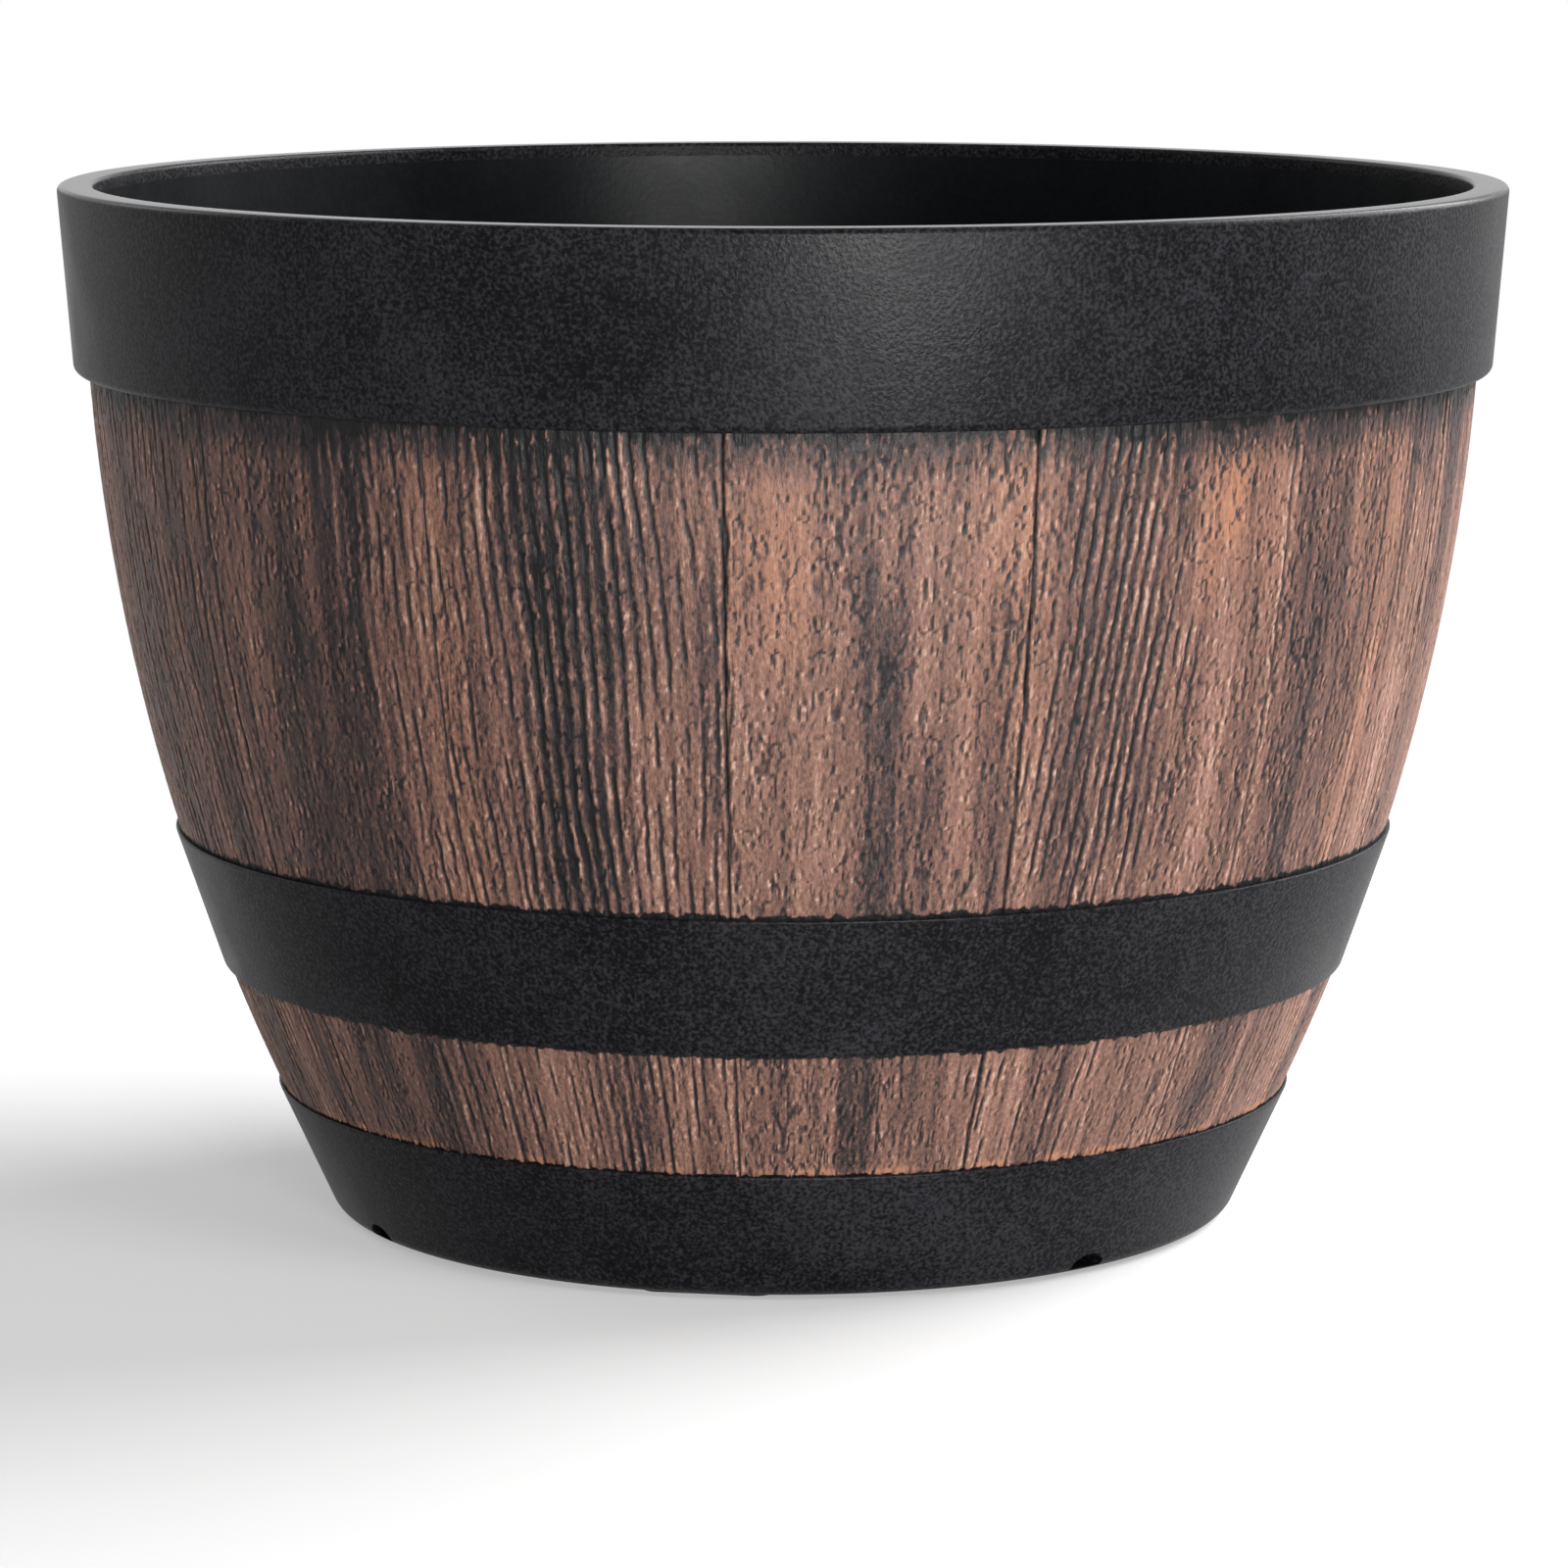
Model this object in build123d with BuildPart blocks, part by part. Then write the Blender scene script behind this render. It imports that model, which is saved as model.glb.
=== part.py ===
from build123d import *
from math import cos, degrees, hypot, radians, sin, sqrt
import os

# A half-barrel garden pot: a bowed, staved wall held by a deep rim band, a lapped
# and riveted middle hoop and a foot band, with a raised floor and a drain plug.
# Lengths are in millimetres and angles in degrees. +Z is up, z = 0 is the face that
# the pot stands on, and the pot's front looks along -Y. A turn is counted from the
# front, towards the right as seen from the front.

# Overall form
total_height = 220.0
wall_top_radius = 147.6
wall_foot_radius = 98.2
stave_bow = 13.8
bow_courses = 6
wall_thick = 2.4

# Joints between the staves, cut as V grooves
stave_count = 15
first_groove_turn = -4.5
groove_width = 1.9
groove_depth = 1.0
groove_reach = 1.0

# Rim band: a lip that caps the wall, and a skirt that hangs outside it
lip_thick = 3.0
rim_overhang = 5.3
rim_depth = 39.0
skirt_thick = 2.4
skirt_gap = 0.6
lip_outer_bevel = 1.0
lip_inner_bevel = 0.7
skirt_edge_bevel = 1.2

# Middle hoop: a flat strap drawn onto the bowed wall
hoop_low = 55.0
hoop_height = 29.0
hoop_proud = 1.0
hoop_edge_bevel = 0.4

# Foot band: an outer strap with a ledge inside that carries the wall and the floor
foot_height = 28.3
foot_proud = 0.9
foot_toe_in = 2.1
foot_corner_bevel = 2.9
foot_edge_bevel = 0.35
ledge_height = 8.0
ledge_width = 14.2

# Low pads under the foot band, and the drain arches through its corner
pad_count = 4
pad_turn = -10.0
pad_arc = 13.0
pad_height = 0.8
pad_margin = 1.0
arch_turns = (-60.0, 40.0, 120.0, 220.0)
arch_width = 8.6
arch_height = 3.2
arch_sill = 0.8
arch_reach = 6.0

# Lapped strap ends on the middle hoop and the foot band, each with two rivets
lap_turn = 128.0
lap_arc = 26.0
lap_rise = 1.0
lap_margin = 1.6
lap_bury = 0.3
lap_end_roundness = 0.42
rivet_spacing = 12.0
rivet_end_distance = 8.0
rivet_head_radius = 3.4
rivet_crown_radius = 2.0
rivet_head_height = 1.5
rivet_shank_radius = 1.5
rivet_fit = 0.05
rivet_seat = 0.15
rivet_wall_gap = 0.1

# Floor
floor_thick = 2.0
floor_fall = 1.5
floor_fit = 0.2
rib_count = 8
rib_thick = 2.0
rib_depth = 3.0
rib_end_gap = 2.0

# Drain hole and its plug
drain_radius = 10.0
drain_boss_wall = 5.0
drain_seat_width = 6.0
plug_fit = 0.1
plug_flange_radius = 14.0
plug_flange_thick = 2.2
plug_flange_bevel = 0.7
plug_straight = 2.6
plug_taper = 0.7
plug_wall = 2.6
plug_tab_length = 17.0
plug_tab_thick = 3.2
plug_tab_height = 3.4
plug_tab_bevel = 0.8

# Heights and radii that follow from the sizes above
wall_top = total_height - lip_thick
skirt_low = total_height - rim_depth
hoop_high = hoop_low + hoop_height
rib_low = ledge_height - rib_depth
seat_height = ledge_height + floor_thick
seat_radius = drain_radius + drain_seat_width


def circle_through(start, middle, end):
    """Centre and radius of the circle through three (radius, height) points."""
    (ax, ay), (bx, by), (cx, cy) = start, middle, end
    twice_area = 2 * (ax * (by - cy) + bx * (cy - ay) + cx * (ay - by))
    a2, b2, c2 = ax * ax + ay * ay, bx * bx + by * by, cx * cx + cy * cy
    x = (a2 * (by - cy) + b2 * (cy - ay) + c2 * (ay - by)) / twice_area
    y = (a2 * (cx - bx) + b2 * (ax - cx) + c2 * (bx - ax)) / twice_area
    return x, y, hypot(ax - x, ay - y)


stave_foot = (wall_foot_radius, ledge_height)
stave_top = (wall_top_radius, wall_top)
stave_middle = (
    (wall_foot_radius + wall_top_radius) / 2 + stave_bow,
    (ledge_height + wall_top) / 2,
)
bow_x, bow_z, bow_radius = circle_through(stave_foot, stave_middle, stave_top)


# The bow is built from straight courses, whose edges lie on its arc
course_height = (wall_top - ledge_height) / bow_courses
course_edges = [ledge_height + course_height * k for k in range(bow_courses + 1)]
least_course = 0.01


def bow_at(height, offset):
    """Radius of the bow's true arc at a height, with its surface moved outward."""
    return bow_x + sqrt((bow_radius + offset) ** 2 - (height - bow_z) ** 2)


def wall_radius(height, offset=0.0):
    """Radius of the wall's courses at a height, with their surface moved outward."""
    course = min(max(int((height - ledge_height) / course_height), 0), bow_courses - 1)
    low, high = course_edges[course], course_edges[course + 1]
    share = (height - low) / (high - low)
    return bow_at(low, offset) + share * (bow_at(high, offset) - bow_at(low, offset))


def bowed_line(low, high, offset=0.0):
    """Line up the wall's courses between two heights, in a radius-height sketch."""
    between = [z for z in course_edges if low + least_course < z < high - least_course]
    return Polyline(*[(wall_radius(z, offset), z) for z in (low, *between, high)])


def bearing(turn):
    """Angle about +Z, from +X, of a turn counted from the pot's front."""
    return turn - 90


def wall_band(low, high, inner=-wall_thick, outer=0.0):
    """Face between two surfaces of the bowed wall, in a sketch."""
    with BuildLine() as outline:
        inside = bowed_line(low, high, inner)
        outside = bowed_line(low, high, outer)
        Line(inside @ 0, outside @ 0)
        Line(inside @ 1, outside @ 1)
    make_face(outline.edges())


# Straight outer lines of the two straps, as (radius, height) points
hoop_line = (
    (wall_radius(hoop_low) + hoop_proud, hoop_low),
    (wall_radius(hoop_high) + hoop_proud, hoop_high),
)
foot_line = (
    (wall_foot_radius - foot_toe_in, 0.0),
    (wall_radius(foot_height) + foot_proud, foot_height),
)


def on_line(line, height):
    """Point of a strap's outer line at a height."""
    (r0, z0), (r1, z1) = line
    return r0 + (r1 - r0) * (height - z0) / (z1 - z0), height


def line_normal(line):
    """Outward unit normal of a strap's outer line, as (radius, height)."""
    (r0, z0), (r1, z1) = line
    length = hypot(r1 - r0, z1 - z0)
    return (z1 - z0) / length, (r0 - r1) / length


# A lap's outer face turns about an axis moved towards the lap, so that its rise is
# full at the rounded free end and has run out at the other end.
def lap_shift():
    """Distance from the pot's axis to the axis that a lap is turned about."""
    return lap_rise / (1 - cos(radians(lap_arc)))


def lap_drop(angle):
    """How far a lap's face has come down, at an angle from its free end."""
    return lap_shift() * (1 - cos(radians(angle)))


def strap_lap(line, low, high):
    """Lapped strap end on a strap's outer line, between two heights."""
    normal_r, normal_z = line_normal(line)
    foot, head = on_line(line, low), on_line(line, high)
    width, length = hypot(head[0] - foot[0], head[1] - foot[1]), head[0] * radians(lap_arc)
    corners = [
        (radius + out * normal_r, height + out * normal_z)
        for (radius, height), out in (
            (foot, -lap_bury), (head, -lap_bury), (head, lap_rise), (foot, lap_rise)
        )
    ]
    end_origin = ((foot[0] + head[0]) / 2, 0, (foot[1] + head[1]) / 2)
    with BuildPart() as lap:
        with BuildSketch(Plane.XZ):
            with BuildLine():
                Polyline(*corners, close=True)
            make_face()
        revolve(axis=Axis((lap_shift(), 0, 0), (0, 0, 1)), revolution_arc=lap_arc)
        with BuildSketch(Plane(end_origin, (0, 1, 0), (normal_r, 0, normal_z))) as outline:
            with Locations((length, 0)):
                Rectangle(2 * length, width)
            free_end = outline.vertices().group_by(Axis.X)[0]
            fillet(free_end, lap_end_roundness * width)
        extrude(outline.sketch, amount=length, both=True, mode=Mode.INTERSECT)
    return lap.part.rotate(Axis.Z, bearing(lap_turn))


def seat_rise(angle):
    """How far a rivet's seat lies outside the strap's outer line, on its lap."""
    return lap_rise - lap_drop(angle) - rivet_seat


def rivet_angles(radius):
    """Angles of a lap's two rivets from its free end."""
    distances = (rivet_end_distance, rivet_end_distance + rivet_spacing)
    return [degrees(distance / radius) for distance in distances]


def rivet_planes(line, height):
    """Seat planes of a lap's two rivets, each facing out of the strap."""
    radius, _ = on_line(line, height)
    normal_r, normal_z = line_normal(line)
    planes = []
    for angle in rivet_angles(radius):
        out = radians(bearing(lap_turn + angle))
        rise = seat_rise(angle)
        seat_r = radius + rise * normal_r
        planes.append(
            Plane(
                origin=(seat_r * cos(out), seat_r * sin(out), height + rise * normal_z),
                x_dir=(-sin(out), cos(out), 0),
                z_dir=(normal_r * cos(out), normal_r * sin(out), normal_z),
            )
        )
    return planes


def shank_length(line, height):
    """Shank that ends just outside the wall, behind the lower of a lap's two seats."""
    radius, _ = on_line(line, height)
    strap_thick = (radius - wall_radius(height)) * line_normal(line)[0]
    return strap_thick + min(map(seat_rise, rivet_angles(radius))) - rivet_wall_gap


def cut_rivet_holes(planes, depth):
    """Shank holes and shallow flat seats for a lap's rivets, in a strap."""
    for plane in planes:
        with BuildSketch(plane) as head_seat:
            Circle(rivet_head_radius + rivet_fit)
        extrude(head_seat.sketch, amount=lap_rise, mode=Mode.SUBTRACT)
        with BuildSketch(plane) as shank_hole:
            Circle(rivet_shank_radius + rivet_fit)
        extrude(shank_hole.sketch, amount=-depth, mode=Mode.SUBTRACT)


def rivets(planes, shank):
    """Two rivets: each has a raised head on its seat and a shank into the strap."""
    with BuildPart() as pair:
        for plane in planes:
            with BuildSketch(Plane(plane.origin, plane.x_dir, plane.y_dir * -1)):
                with BuildLine():
                    Polyline(
                        (0, rivet_head_height),
                        (rivet_crown_radius, rivet_head_height),
                        (rivet_head_radius, 0),
                        (rivet_shank_radius, 0),
                        (rivet_shank_radius, -shank),
                        (0, -shank),
                        close=True,
                    )
                make_face()
            revolve(axis=Axis(plane.origin, plane.z_dir))
    return pair.part


hoop_lap = strap_lap(hoop_line, hoop_low + lap_margin, hoop_high - lap_margin)
foot_lap = strap_lap(foot_line, ledge_height, foot_height - lap_margin)
hoop_rivet_height = hoop_low + hoop_height / 2
foot_rivet_height = (ledge_height + foot_height - lap_margin) / 2
hoop_rivet_planes = rivet_planes(hoop_line, hoop_rivet_height)
foot_rivet_planes = rivet_planes(foot_line, foot_rivet_height)
hoop_shank = shank_length(hoop_line, hoop_rivet_height)
foot_shank = shank_length(foot_line, foot_rivet_height)

# V groove between two staves, run up the wall's outer face
with BuildPart() as stave_groove:
    with BuildLine(Plane.XZ) as groove_path:
        groove_line = bowed_line(ledge_height - groove_reach, wall_top + groove_reach)
    groove_along = groove_line % 0
    groove_out = Vector(groove_along.Z, 0, -groove_along.X)
    with BuildSketch(Plane(groove_line @ 0, groove_out, groove_along)):
        groove_spread = groove_width / 2 * (1 + groove_reach / groove_depth)
        with BuildLine():
            Polyline(
                (-groove_depth, 0),
                (groove_reach, groove_spread),
                (groove_reach, -groove_spread),
                close=True,
            )
        make_face()
    sweep(path=groove_path, transition=Transition.RIGHT)

# Staved wall
with BuildPart() as barrel_wall:
    with BuildSketch(Plane.XZ):
        wall_band(ledge_height, wall_top)
    revolve(axis=Axis.Z)
    with PolarLocations(0, stave_count, bearing(first_groove_turn)):
        add(stave_groove.part, mode=Mode.SUBTRACT)

# Rim band: the lip sits on the wall's top edge and the skirt hangs clear of it
lip_inner_radius = wall_radius(wall_top, -wall_thick)
rim_radius = wall_top_radius + rim_overhang
skirt_low_radius = wall_radius(skirt_low) + skirt_gap + skirt_thick
skirt_line = ((skirt_low_radius, skirt_low), (rim_radius, total_height))
with BuildPart() as rim_band:
    with BuildSketch(Plane.XZ) as rim_profile:
        with BuildLine():
            Polyline(
                (lip_inner_radius, wall_top),
                (lip_inner_radius, total_height),
                (rim_radius, total_height),
                (skirt_low_radius, skirt_low),
                (skirt_low_radius - skirt_thick, skirt_low),
                (on_line(skirt_line, wall_top)[0] - skirt_thick, wall_top),
                close=True,
            )
        make_face()
        lip_inner, lip_outer = rim_profile.vertices().group_by(Axis.Y)[-1].sort_by(Axis.X)
        skirt_edge = rim_profile.vertices().group_by(Axis.Y)[0].sort_by(Axis.X)[-1]
        chamfer(lip_inner, lip_inner_bevel)
        chamfer(lip_outer, lip_outer_bevel)
        chamfer(skirt_edge, skirt_edge_bevel)
    revolve(axis=Axis.Z)

# Middle hoop
with BuildPart() as middle_hoop:
    with BuildSketch(Plane.XZ) as hoop_profile:
        with BuildLine():
            hoop_inside = bowed_line(hoop_low, hoop_high)
            Polyline(hoop_inside @ 0, *hoop_line, hoop_inside @ 1)
        make_face()
        hoop_outer_top = hoop_profile.vertices().sort_by(Axis.X)[-1]
        hoop_outer_foot = hoop_profile.vertices().group_by(Axis.Y)[0].sort_by(Axis.X)[-1]
        chamfer((hoop_outer_top, hoop_outer_foot), hoop_edge_bevel)
    revolve(axis=Axis.Z)
    add(hoop_lap)
    with BuildSketch(Plane.XZ):
        wall_band(hoop_low, hoop_high)
    revolve(axis=Axis.Z, mode=Mode.SUBTRACT)
    cut_rivet_holes(hoop_rivet_planes, hoop_shank + hoop_proud)

hoop_rivets = rivets(hoop_rivet_planes, hoop_shank)

# Foot band
ledge_radius = wall_foot_radius - ledge_width
foot_bottom = on_line(foot_line, pad_height)
bottom_radius = foot_bottom[0] - foot_corner_bevel
pad_radius = (ledge_radius + bottom_radius) / 2
pad_width = bottom_radius - ledge_radius - 2 * pad_margin
with BuildPart() as foot_band:
    with BuildSketch(Plane.XZ) as foot_profile:
        with BuildLine():
            foot_inside = bowed_line(ledge_height, foot_height)
            Polyline(
                foot_inside @ 0,
                (ledge_radius, ledge_height),
                (ledge_radius, pad_height),
                foot_bottom,
                foot_line[1],
                foot_inside @ 1,
            )
        make_face()
        foot_corner = foot_profile.vertices().group_by(Axis.Y)[0].sort_by(Axis.X)[-1]
        foot_top_edge = foot_profile.vertices().sort_by(Axis.X)[-1]
        chamfer(foot_corner, foot_corner_bevel)
        chamfer(foot_top_edge, foot_edge_bevel)
    revolve(axis=Axis.Z)
    add(foot_lap)
    with BuildSketch(Plane.XZ):
        wall_band(ledge_height, foot_height)
    revolve(axis=Axis.Z, mode=Mode.SUBTRACT)
    with BuildSketch():
        with BuildLine() as pad_line:
            CenterArc((0, 0), pad_radius, bearing(pad_turn - pad_arc / 2), pad_arc)
        with PolarLocations(0, pad_count):
            SlotArc(pad_line.edge(), pad_width)
    extrude(amount=pad_height)
    for arch_turn in arch_turns:
        out = radians(bearing(arch_turn))
        arch_plane = Plane((0, 0, 0), (-sin(out), cos(out), 0), (cos(out), sin(out), 0))
        with BuildSketch(arch_plane.offset(ledge_radius - arch_reach)):
            with BuildLine():
                arch_low = pad_height + arch_sill
                sill = Line((-arch_width / 2, arch_low), (arch_width / 2, arch_low))
                ThreePointArc(sill @ 1, (0, arch_low + arch_height), sill @ 0)
            make_face()
        extrude(amount=ledge_width + foot_proud + 2 * arch_reach, mode=Mode.SUBTRACT)
    cut_rivet_holes(foot_rivet_planes, foot_shank + foot_proud)

foot_rivets = rivets(foot_rivet_planes, foot_shank)

# Raised floor: it falls towards the drain, and its ribs stay above the pads
floor_edge_low = (wall_radius(ledge_height, -wall_thick) - floor_fit, ledge_height)
floor_edge_top = seat_height + floor_fall
floor_edge_high = (wall_radius(floor_edge_top, -wall_thick) - floor_fit, floor_edge_top)
boss_radius = drain_radius + drain_boss_wall
with BuildPart() as base_floor:
    with BuildSketch(Plane.XZ):
        with BuildLine():
            Polyline(
                (drain_radius, rib_low),
                (boss_radius, rib_low),
                (boss_radius, ledge_height),
                floor_edge_low,
                floor_edge_high,
                (seat_radius, seat_height),
                (drain_radius, seat_height),
                close=True,
            )
        make_face()
    revolve(axis=Axis.Z)
    rib_start = drain_radius + drain_boss_wall / 2
    rib_length = ledge_radius - rib_end_gap - rib_start
    with BuildSketch(Plane.XY.offset(rib_low)):
        with PolarLocations(rib_start + rib_length / 2, rib_count, bearing(pad_turn)):
            Rectangle(rib_length, rib_thick)
    extrude(amount=rib_depth + floor_thick / 2)

# Drain plug: a flange on the floor, a hollow stem in the hole and a tab to pull it by
plug_radius = drain_radius - plug_fit
plug_flange_top = seat_height + plug_flange_thick
plug_bore_radius = plug_radius - plug_wall
with BuildPart() as drain_plug:
    with BuildSketch(Plane.XZ) as plug_profile:
        with BuildLine():
            Polyline(
                (0, plug_flange_top),
                (plug_flange_radius, plug_flange_top),
                (plug_flange_radius, seat_height),
                (plug_radius, seat_height),
                (plug_radius, seat_height - plug_straight),
                (plug_radius - plug_taper, rib_low),
                (plug_bore_radius - plug_taper, rib_low),
                (plug_bore_radius, seat_height),
                (0, seat_height),
                close=True,
            )
        make_face()
        flange_edge = plug_profile.vertices().group_by(Axis.Y)[-1].sort_by(Axis.X)[-1]
        chamfer(flange_edge, plug_flange_bevel)
    revolve(axis=Axis.Z)
    with BuildSketch(Plane.XY.offset(plug_flange_top - plug_flange_thick / 2)):
        SlotOverall(plug_tab_length, plug_tab_thick)
    tab = extrude(amount=plug_flange_thick / 2 + plug_tab_height)
    chamfer(tab.faces().sort_by(Axis.Z)[-1].edges(), plug_tab_bevel)

barrel_wall.part.label = "barrel_wall"
rim_band.part.label = "rim_band"
middle_hoop.part.label = "middle_hoop"
hoop_rivets.label = "hoop_rivets"
foot_band.part.label = "foot_band"
foot_rivets.label = "foot_rivets"
base_floor.part.label = "base_floor"
drain_plug.part.label = "drain_plug"

os.makedirs("parts", exist_ok=True)
export_step(barrel_wall.part, "parts/barrel_wall.step")
export_step(rim_band.part, "parts/rim_band.step")
export_step(middle_hoop.part, "parts/middle_hoop.step")
export_step(hoop_rivets, "parts/hoop_rivets.step")
export_step(foot_band.part, "parts/foot_band.step")
export_step(foot_rivets, "parts/foot_rivets.step")
export_step(base_floor.part, "parts/base_floor.step")
export_step(drain_plug.part, "parts/drain_plug.step")
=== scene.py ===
"""Looks of a half-barrel garden pot: painted stave relief, black bands, floor, plug and a plain studio."""

import itertools
import logging
import math
from dataclasses import dataclass
from enum import Enum
from typing import Sequence

import bpy
import numpy as np
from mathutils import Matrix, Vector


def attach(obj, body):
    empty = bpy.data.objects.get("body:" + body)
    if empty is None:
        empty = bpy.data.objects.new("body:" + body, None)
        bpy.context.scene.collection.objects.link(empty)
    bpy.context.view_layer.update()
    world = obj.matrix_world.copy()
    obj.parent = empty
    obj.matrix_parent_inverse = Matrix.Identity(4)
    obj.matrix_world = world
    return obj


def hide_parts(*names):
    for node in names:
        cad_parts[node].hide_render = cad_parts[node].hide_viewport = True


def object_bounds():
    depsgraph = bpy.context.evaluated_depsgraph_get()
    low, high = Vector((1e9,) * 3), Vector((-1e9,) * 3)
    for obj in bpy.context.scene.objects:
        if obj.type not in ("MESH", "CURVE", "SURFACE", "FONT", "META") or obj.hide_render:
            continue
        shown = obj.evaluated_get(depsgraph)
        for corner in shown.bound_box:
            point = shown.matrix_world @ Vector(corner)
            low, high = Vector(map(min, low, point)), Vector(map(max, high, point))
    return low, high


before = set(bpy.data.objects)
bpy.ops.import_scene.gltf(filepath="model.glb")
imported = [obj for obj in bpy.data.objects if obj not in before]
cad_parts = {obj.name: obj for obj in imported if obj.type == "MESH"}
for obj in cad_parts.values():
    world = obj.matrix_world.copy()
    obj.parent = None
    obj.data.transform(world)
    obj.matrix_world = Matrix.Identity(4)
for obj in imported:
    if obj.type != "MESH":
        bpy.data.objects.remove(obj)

cad_low, cad_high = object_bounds()

# Sizes are in millimetres and angles in degrees. A turn is counted from the pot's front, which looks
# along -Y, towards the right as seen from the front. Meshes, lamps and the camera are in metres.
METRES = 0.001
TAU = 2 * math.pi
SHARP_BEND = 40.0
WHITE = (1.0, 1.0, 1.0, 1.0)
LOG = logging.getLogger("garden_pot")

Array = np.ndarray
Colour = tuple[float, float, float]


class Body(Enum):
    """The two bodies that pieces ride on."""

    POT = "pot"
    PLUG = "plug"


class Slot(Enum):
    """Material slots."""

    WOOD = "stave_wood_look"
    BAND = "black_band"
    RIVET = "black_rivet"
    FLOOR = "black_floor"
    RUBBER = "plug_rubber"


def smoothstep(low: float, high: float, value: Array) -> Array:
    """Smooth ramp: with t the clamped share of the way from low to high, t squared times (3 - 2 t).

    Args:
        low: Value at which the ramp starts.
        high: Value at which it is full.
        value: Numbers to map.

    Returns:
        Numbers from 0 to 1.
    """
    t = np.clip((value - low) / (high - low), 0.0, 1.0)
    return t * t * (3.0 - 2.0 * t)


def scatter(i: Array, j: Array, seed: int) -> Array:
    """Evenly spread numbers for lattice points: products with large odd numbers, folded by exclusive or.

    Args:
        i: Whole numbers of the lattice's first axis.
        j: Whole numbers of its second axis.
        seed: Chooses another set of numbers.

    Returns:
        Numbers from 0 to 1.
    """
    mask = np.uint64(0xFFFFFFFF)
    n = i.astype(np.int64).astype(np.uint64) * np.uint64(0x9E3779B1)
    n = n ^ (j.astype(np.int64).astype(np.uint64) * np.uint64(0x85EBCA77))
    n = (n + np.uint64(seed) * np.uint64(0xC2B2AE3D)) & mask
    for shift, factor in ((15, 0x2C1B3C6D), (12, 0x297A2D39), (15, 0x7FEB352D)):
        n = ((n ^ (n >> np.uint64(shift))) * np.uint64(factor)) & mask
    return (n ^ (n >> np.uint64(16))).astype(np.float64) / float(0xFFFFFFFF)


def noise(x: Array, y: Array, seed: int) -> Array:
    """Value noise: numbers on a unit lattice, joined by the quintic 6 t^5 - 15 t^4 + 10 t^3.

    Args:
        x: First coordinates, in lattice steps.
        y: Second coordinates, in lattice steps.
        seed: Chooses another pattern.

    Returns:
        Numbers from -1 to 1.
    """
    i, j = np.floor(x), np.floor(y)
    fx, fy = x - i, y - j
    ux = fx**3 * (fx * (fx * 6 - 15) + 10)
    uy = fy**3 * (fy * (fy * 6 - 15) + 10)
    low = scatter(i, j, seed) * (1 - ux) + scatter(i + 1, j, seed) * ux
    high = scatter(i, j + 1, seed) * (1 - ux) + scatter(i + 1, j + 1, seed) * ux
    return 2.0 * (low * (1 - uy) + high * uy) - 1.0


def layered_noise(x: Array, y: Array, seed: int, layers: int = 3) -> Array:
    """Sum of noises, each of half the size and about half the height of the one before.

    Args:
        x: First coordinates, in steps of the coarsest lattice.
        y: Second coordinates, in steps of the coarsest lattice.
        seed: Chooses another pattern.
        layers: Number of noises in the sum.

    Returns:
        Numbers of about -1 to 1.
    """
    total, weight, sum_of_weights = np.zeros(np.broadcast(x, y).shape), 1.0, 0.0
    for layer in range(layers):
        total += weight * noise(x * 2**layer + 17.3 * layer, y * 2**layer + 9.1 * layer, seed + layer)
        sum_of_weights += weight
        weight *= 0.55
    return total / sum_of_weights


def grid_quads(rows: int, columns: int, wrap_rows: bool, wrap_columns: bool) -> Array:
    """Quads of a grid of points that are numbered row by row.

    Args:
        rows: Number of rows.
        columns: Number of points in a row.
        wrap_rows: Whether the last row joins the first.
        wrap_columns: Whether the last column joins the first.

    Returns:
        Whole numbers, one row of four corners per quad.
    """
    r = np.arange(rows if wrap_rows else rows - 1)[:, None]
    c = np.arange(columns if wrap_columns else columns - 1)[None, :]
    r2, c2 = (r + 1) % rows, (c + 1) % columns
    corners = (r * columns + c, r * columns + c2, r2 * columns + c2, r2 * columns + c)
    return np.stack([np.broadcast_to(k, (r.size, c.size)).ravel() for k in corners], axis=1)


def enclosed_volume(points: Array, faces: Sequence[Sequence[int]]) -> float:
    """Signed volume of a closed surface: a sixth of the triple products of its fans of triangles.

    Args:
        points: Corners, one per row.
        faces: Corner numbers of each face, in order round it.

    Returns:
        A positive number where the faces point outward.
    """
    total = 0.0
    by_count: dict[int, list[Sequence[int]]] = {}
    for face in faces:
        by_count.setdefault(len(face), []).append(face)
    for count, group in by_count.items():
        corners = points[np.asarray(group)]
        for k in range(1, count - 1):
            normal = np.cross(corners[:, k], corners[:, k + 1])
            total += float(np.einsum("ij,ij->", corners[:, 0], normal)) / 6.0
    return total


@dataclass
class Surface:
    """A closed surface of one or more shells, in millimetres."""

    points: Array
    faces: list[list[int]]
    plan: Array | None = None

    def outward(self) -> "Surface":
        """The same surface with its faces turned outward."""
        if enclosed_volume(self.points, self.faces) >= 0:
            return self
        return Surface(self.points, [face[::-1] for face in self.faces], self.plan)

    def moved(self, origin: Array, x_axis: Array, y_axis: Array, z_axis: Array) -> "Surface":
        """The surface carried to another frame: origin + x x_axis + y y_axis + z z_axis.

        Args:
            origin: The new frame's origin.
            x_axis: Its unit X.
            y_axis: Its unit Y.
            z_axis: Its unit Z.

        Returns:
            The moved surface.
        """
        return Surface(origin + self.points @ np.stack([x_axis, y_axis, z_axis]), self.faces, self.plan)


def joined(surfaces: Sequence[Surface]) -> Surface:
    """Several closed surfaces as the shells of one.

    Args:
        surfaces: The shells.

    Returns:
        One surface.
    """
    faces: list[list[int]] = []
    start = 0
    for surface in surfaces:
        faces += [[corner + start for corner in face] for face in surface.faces]
        start += len(surface.points)
    return Surface(np.concatenate([surface.points for surface in surfaces]), faces)


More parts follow.
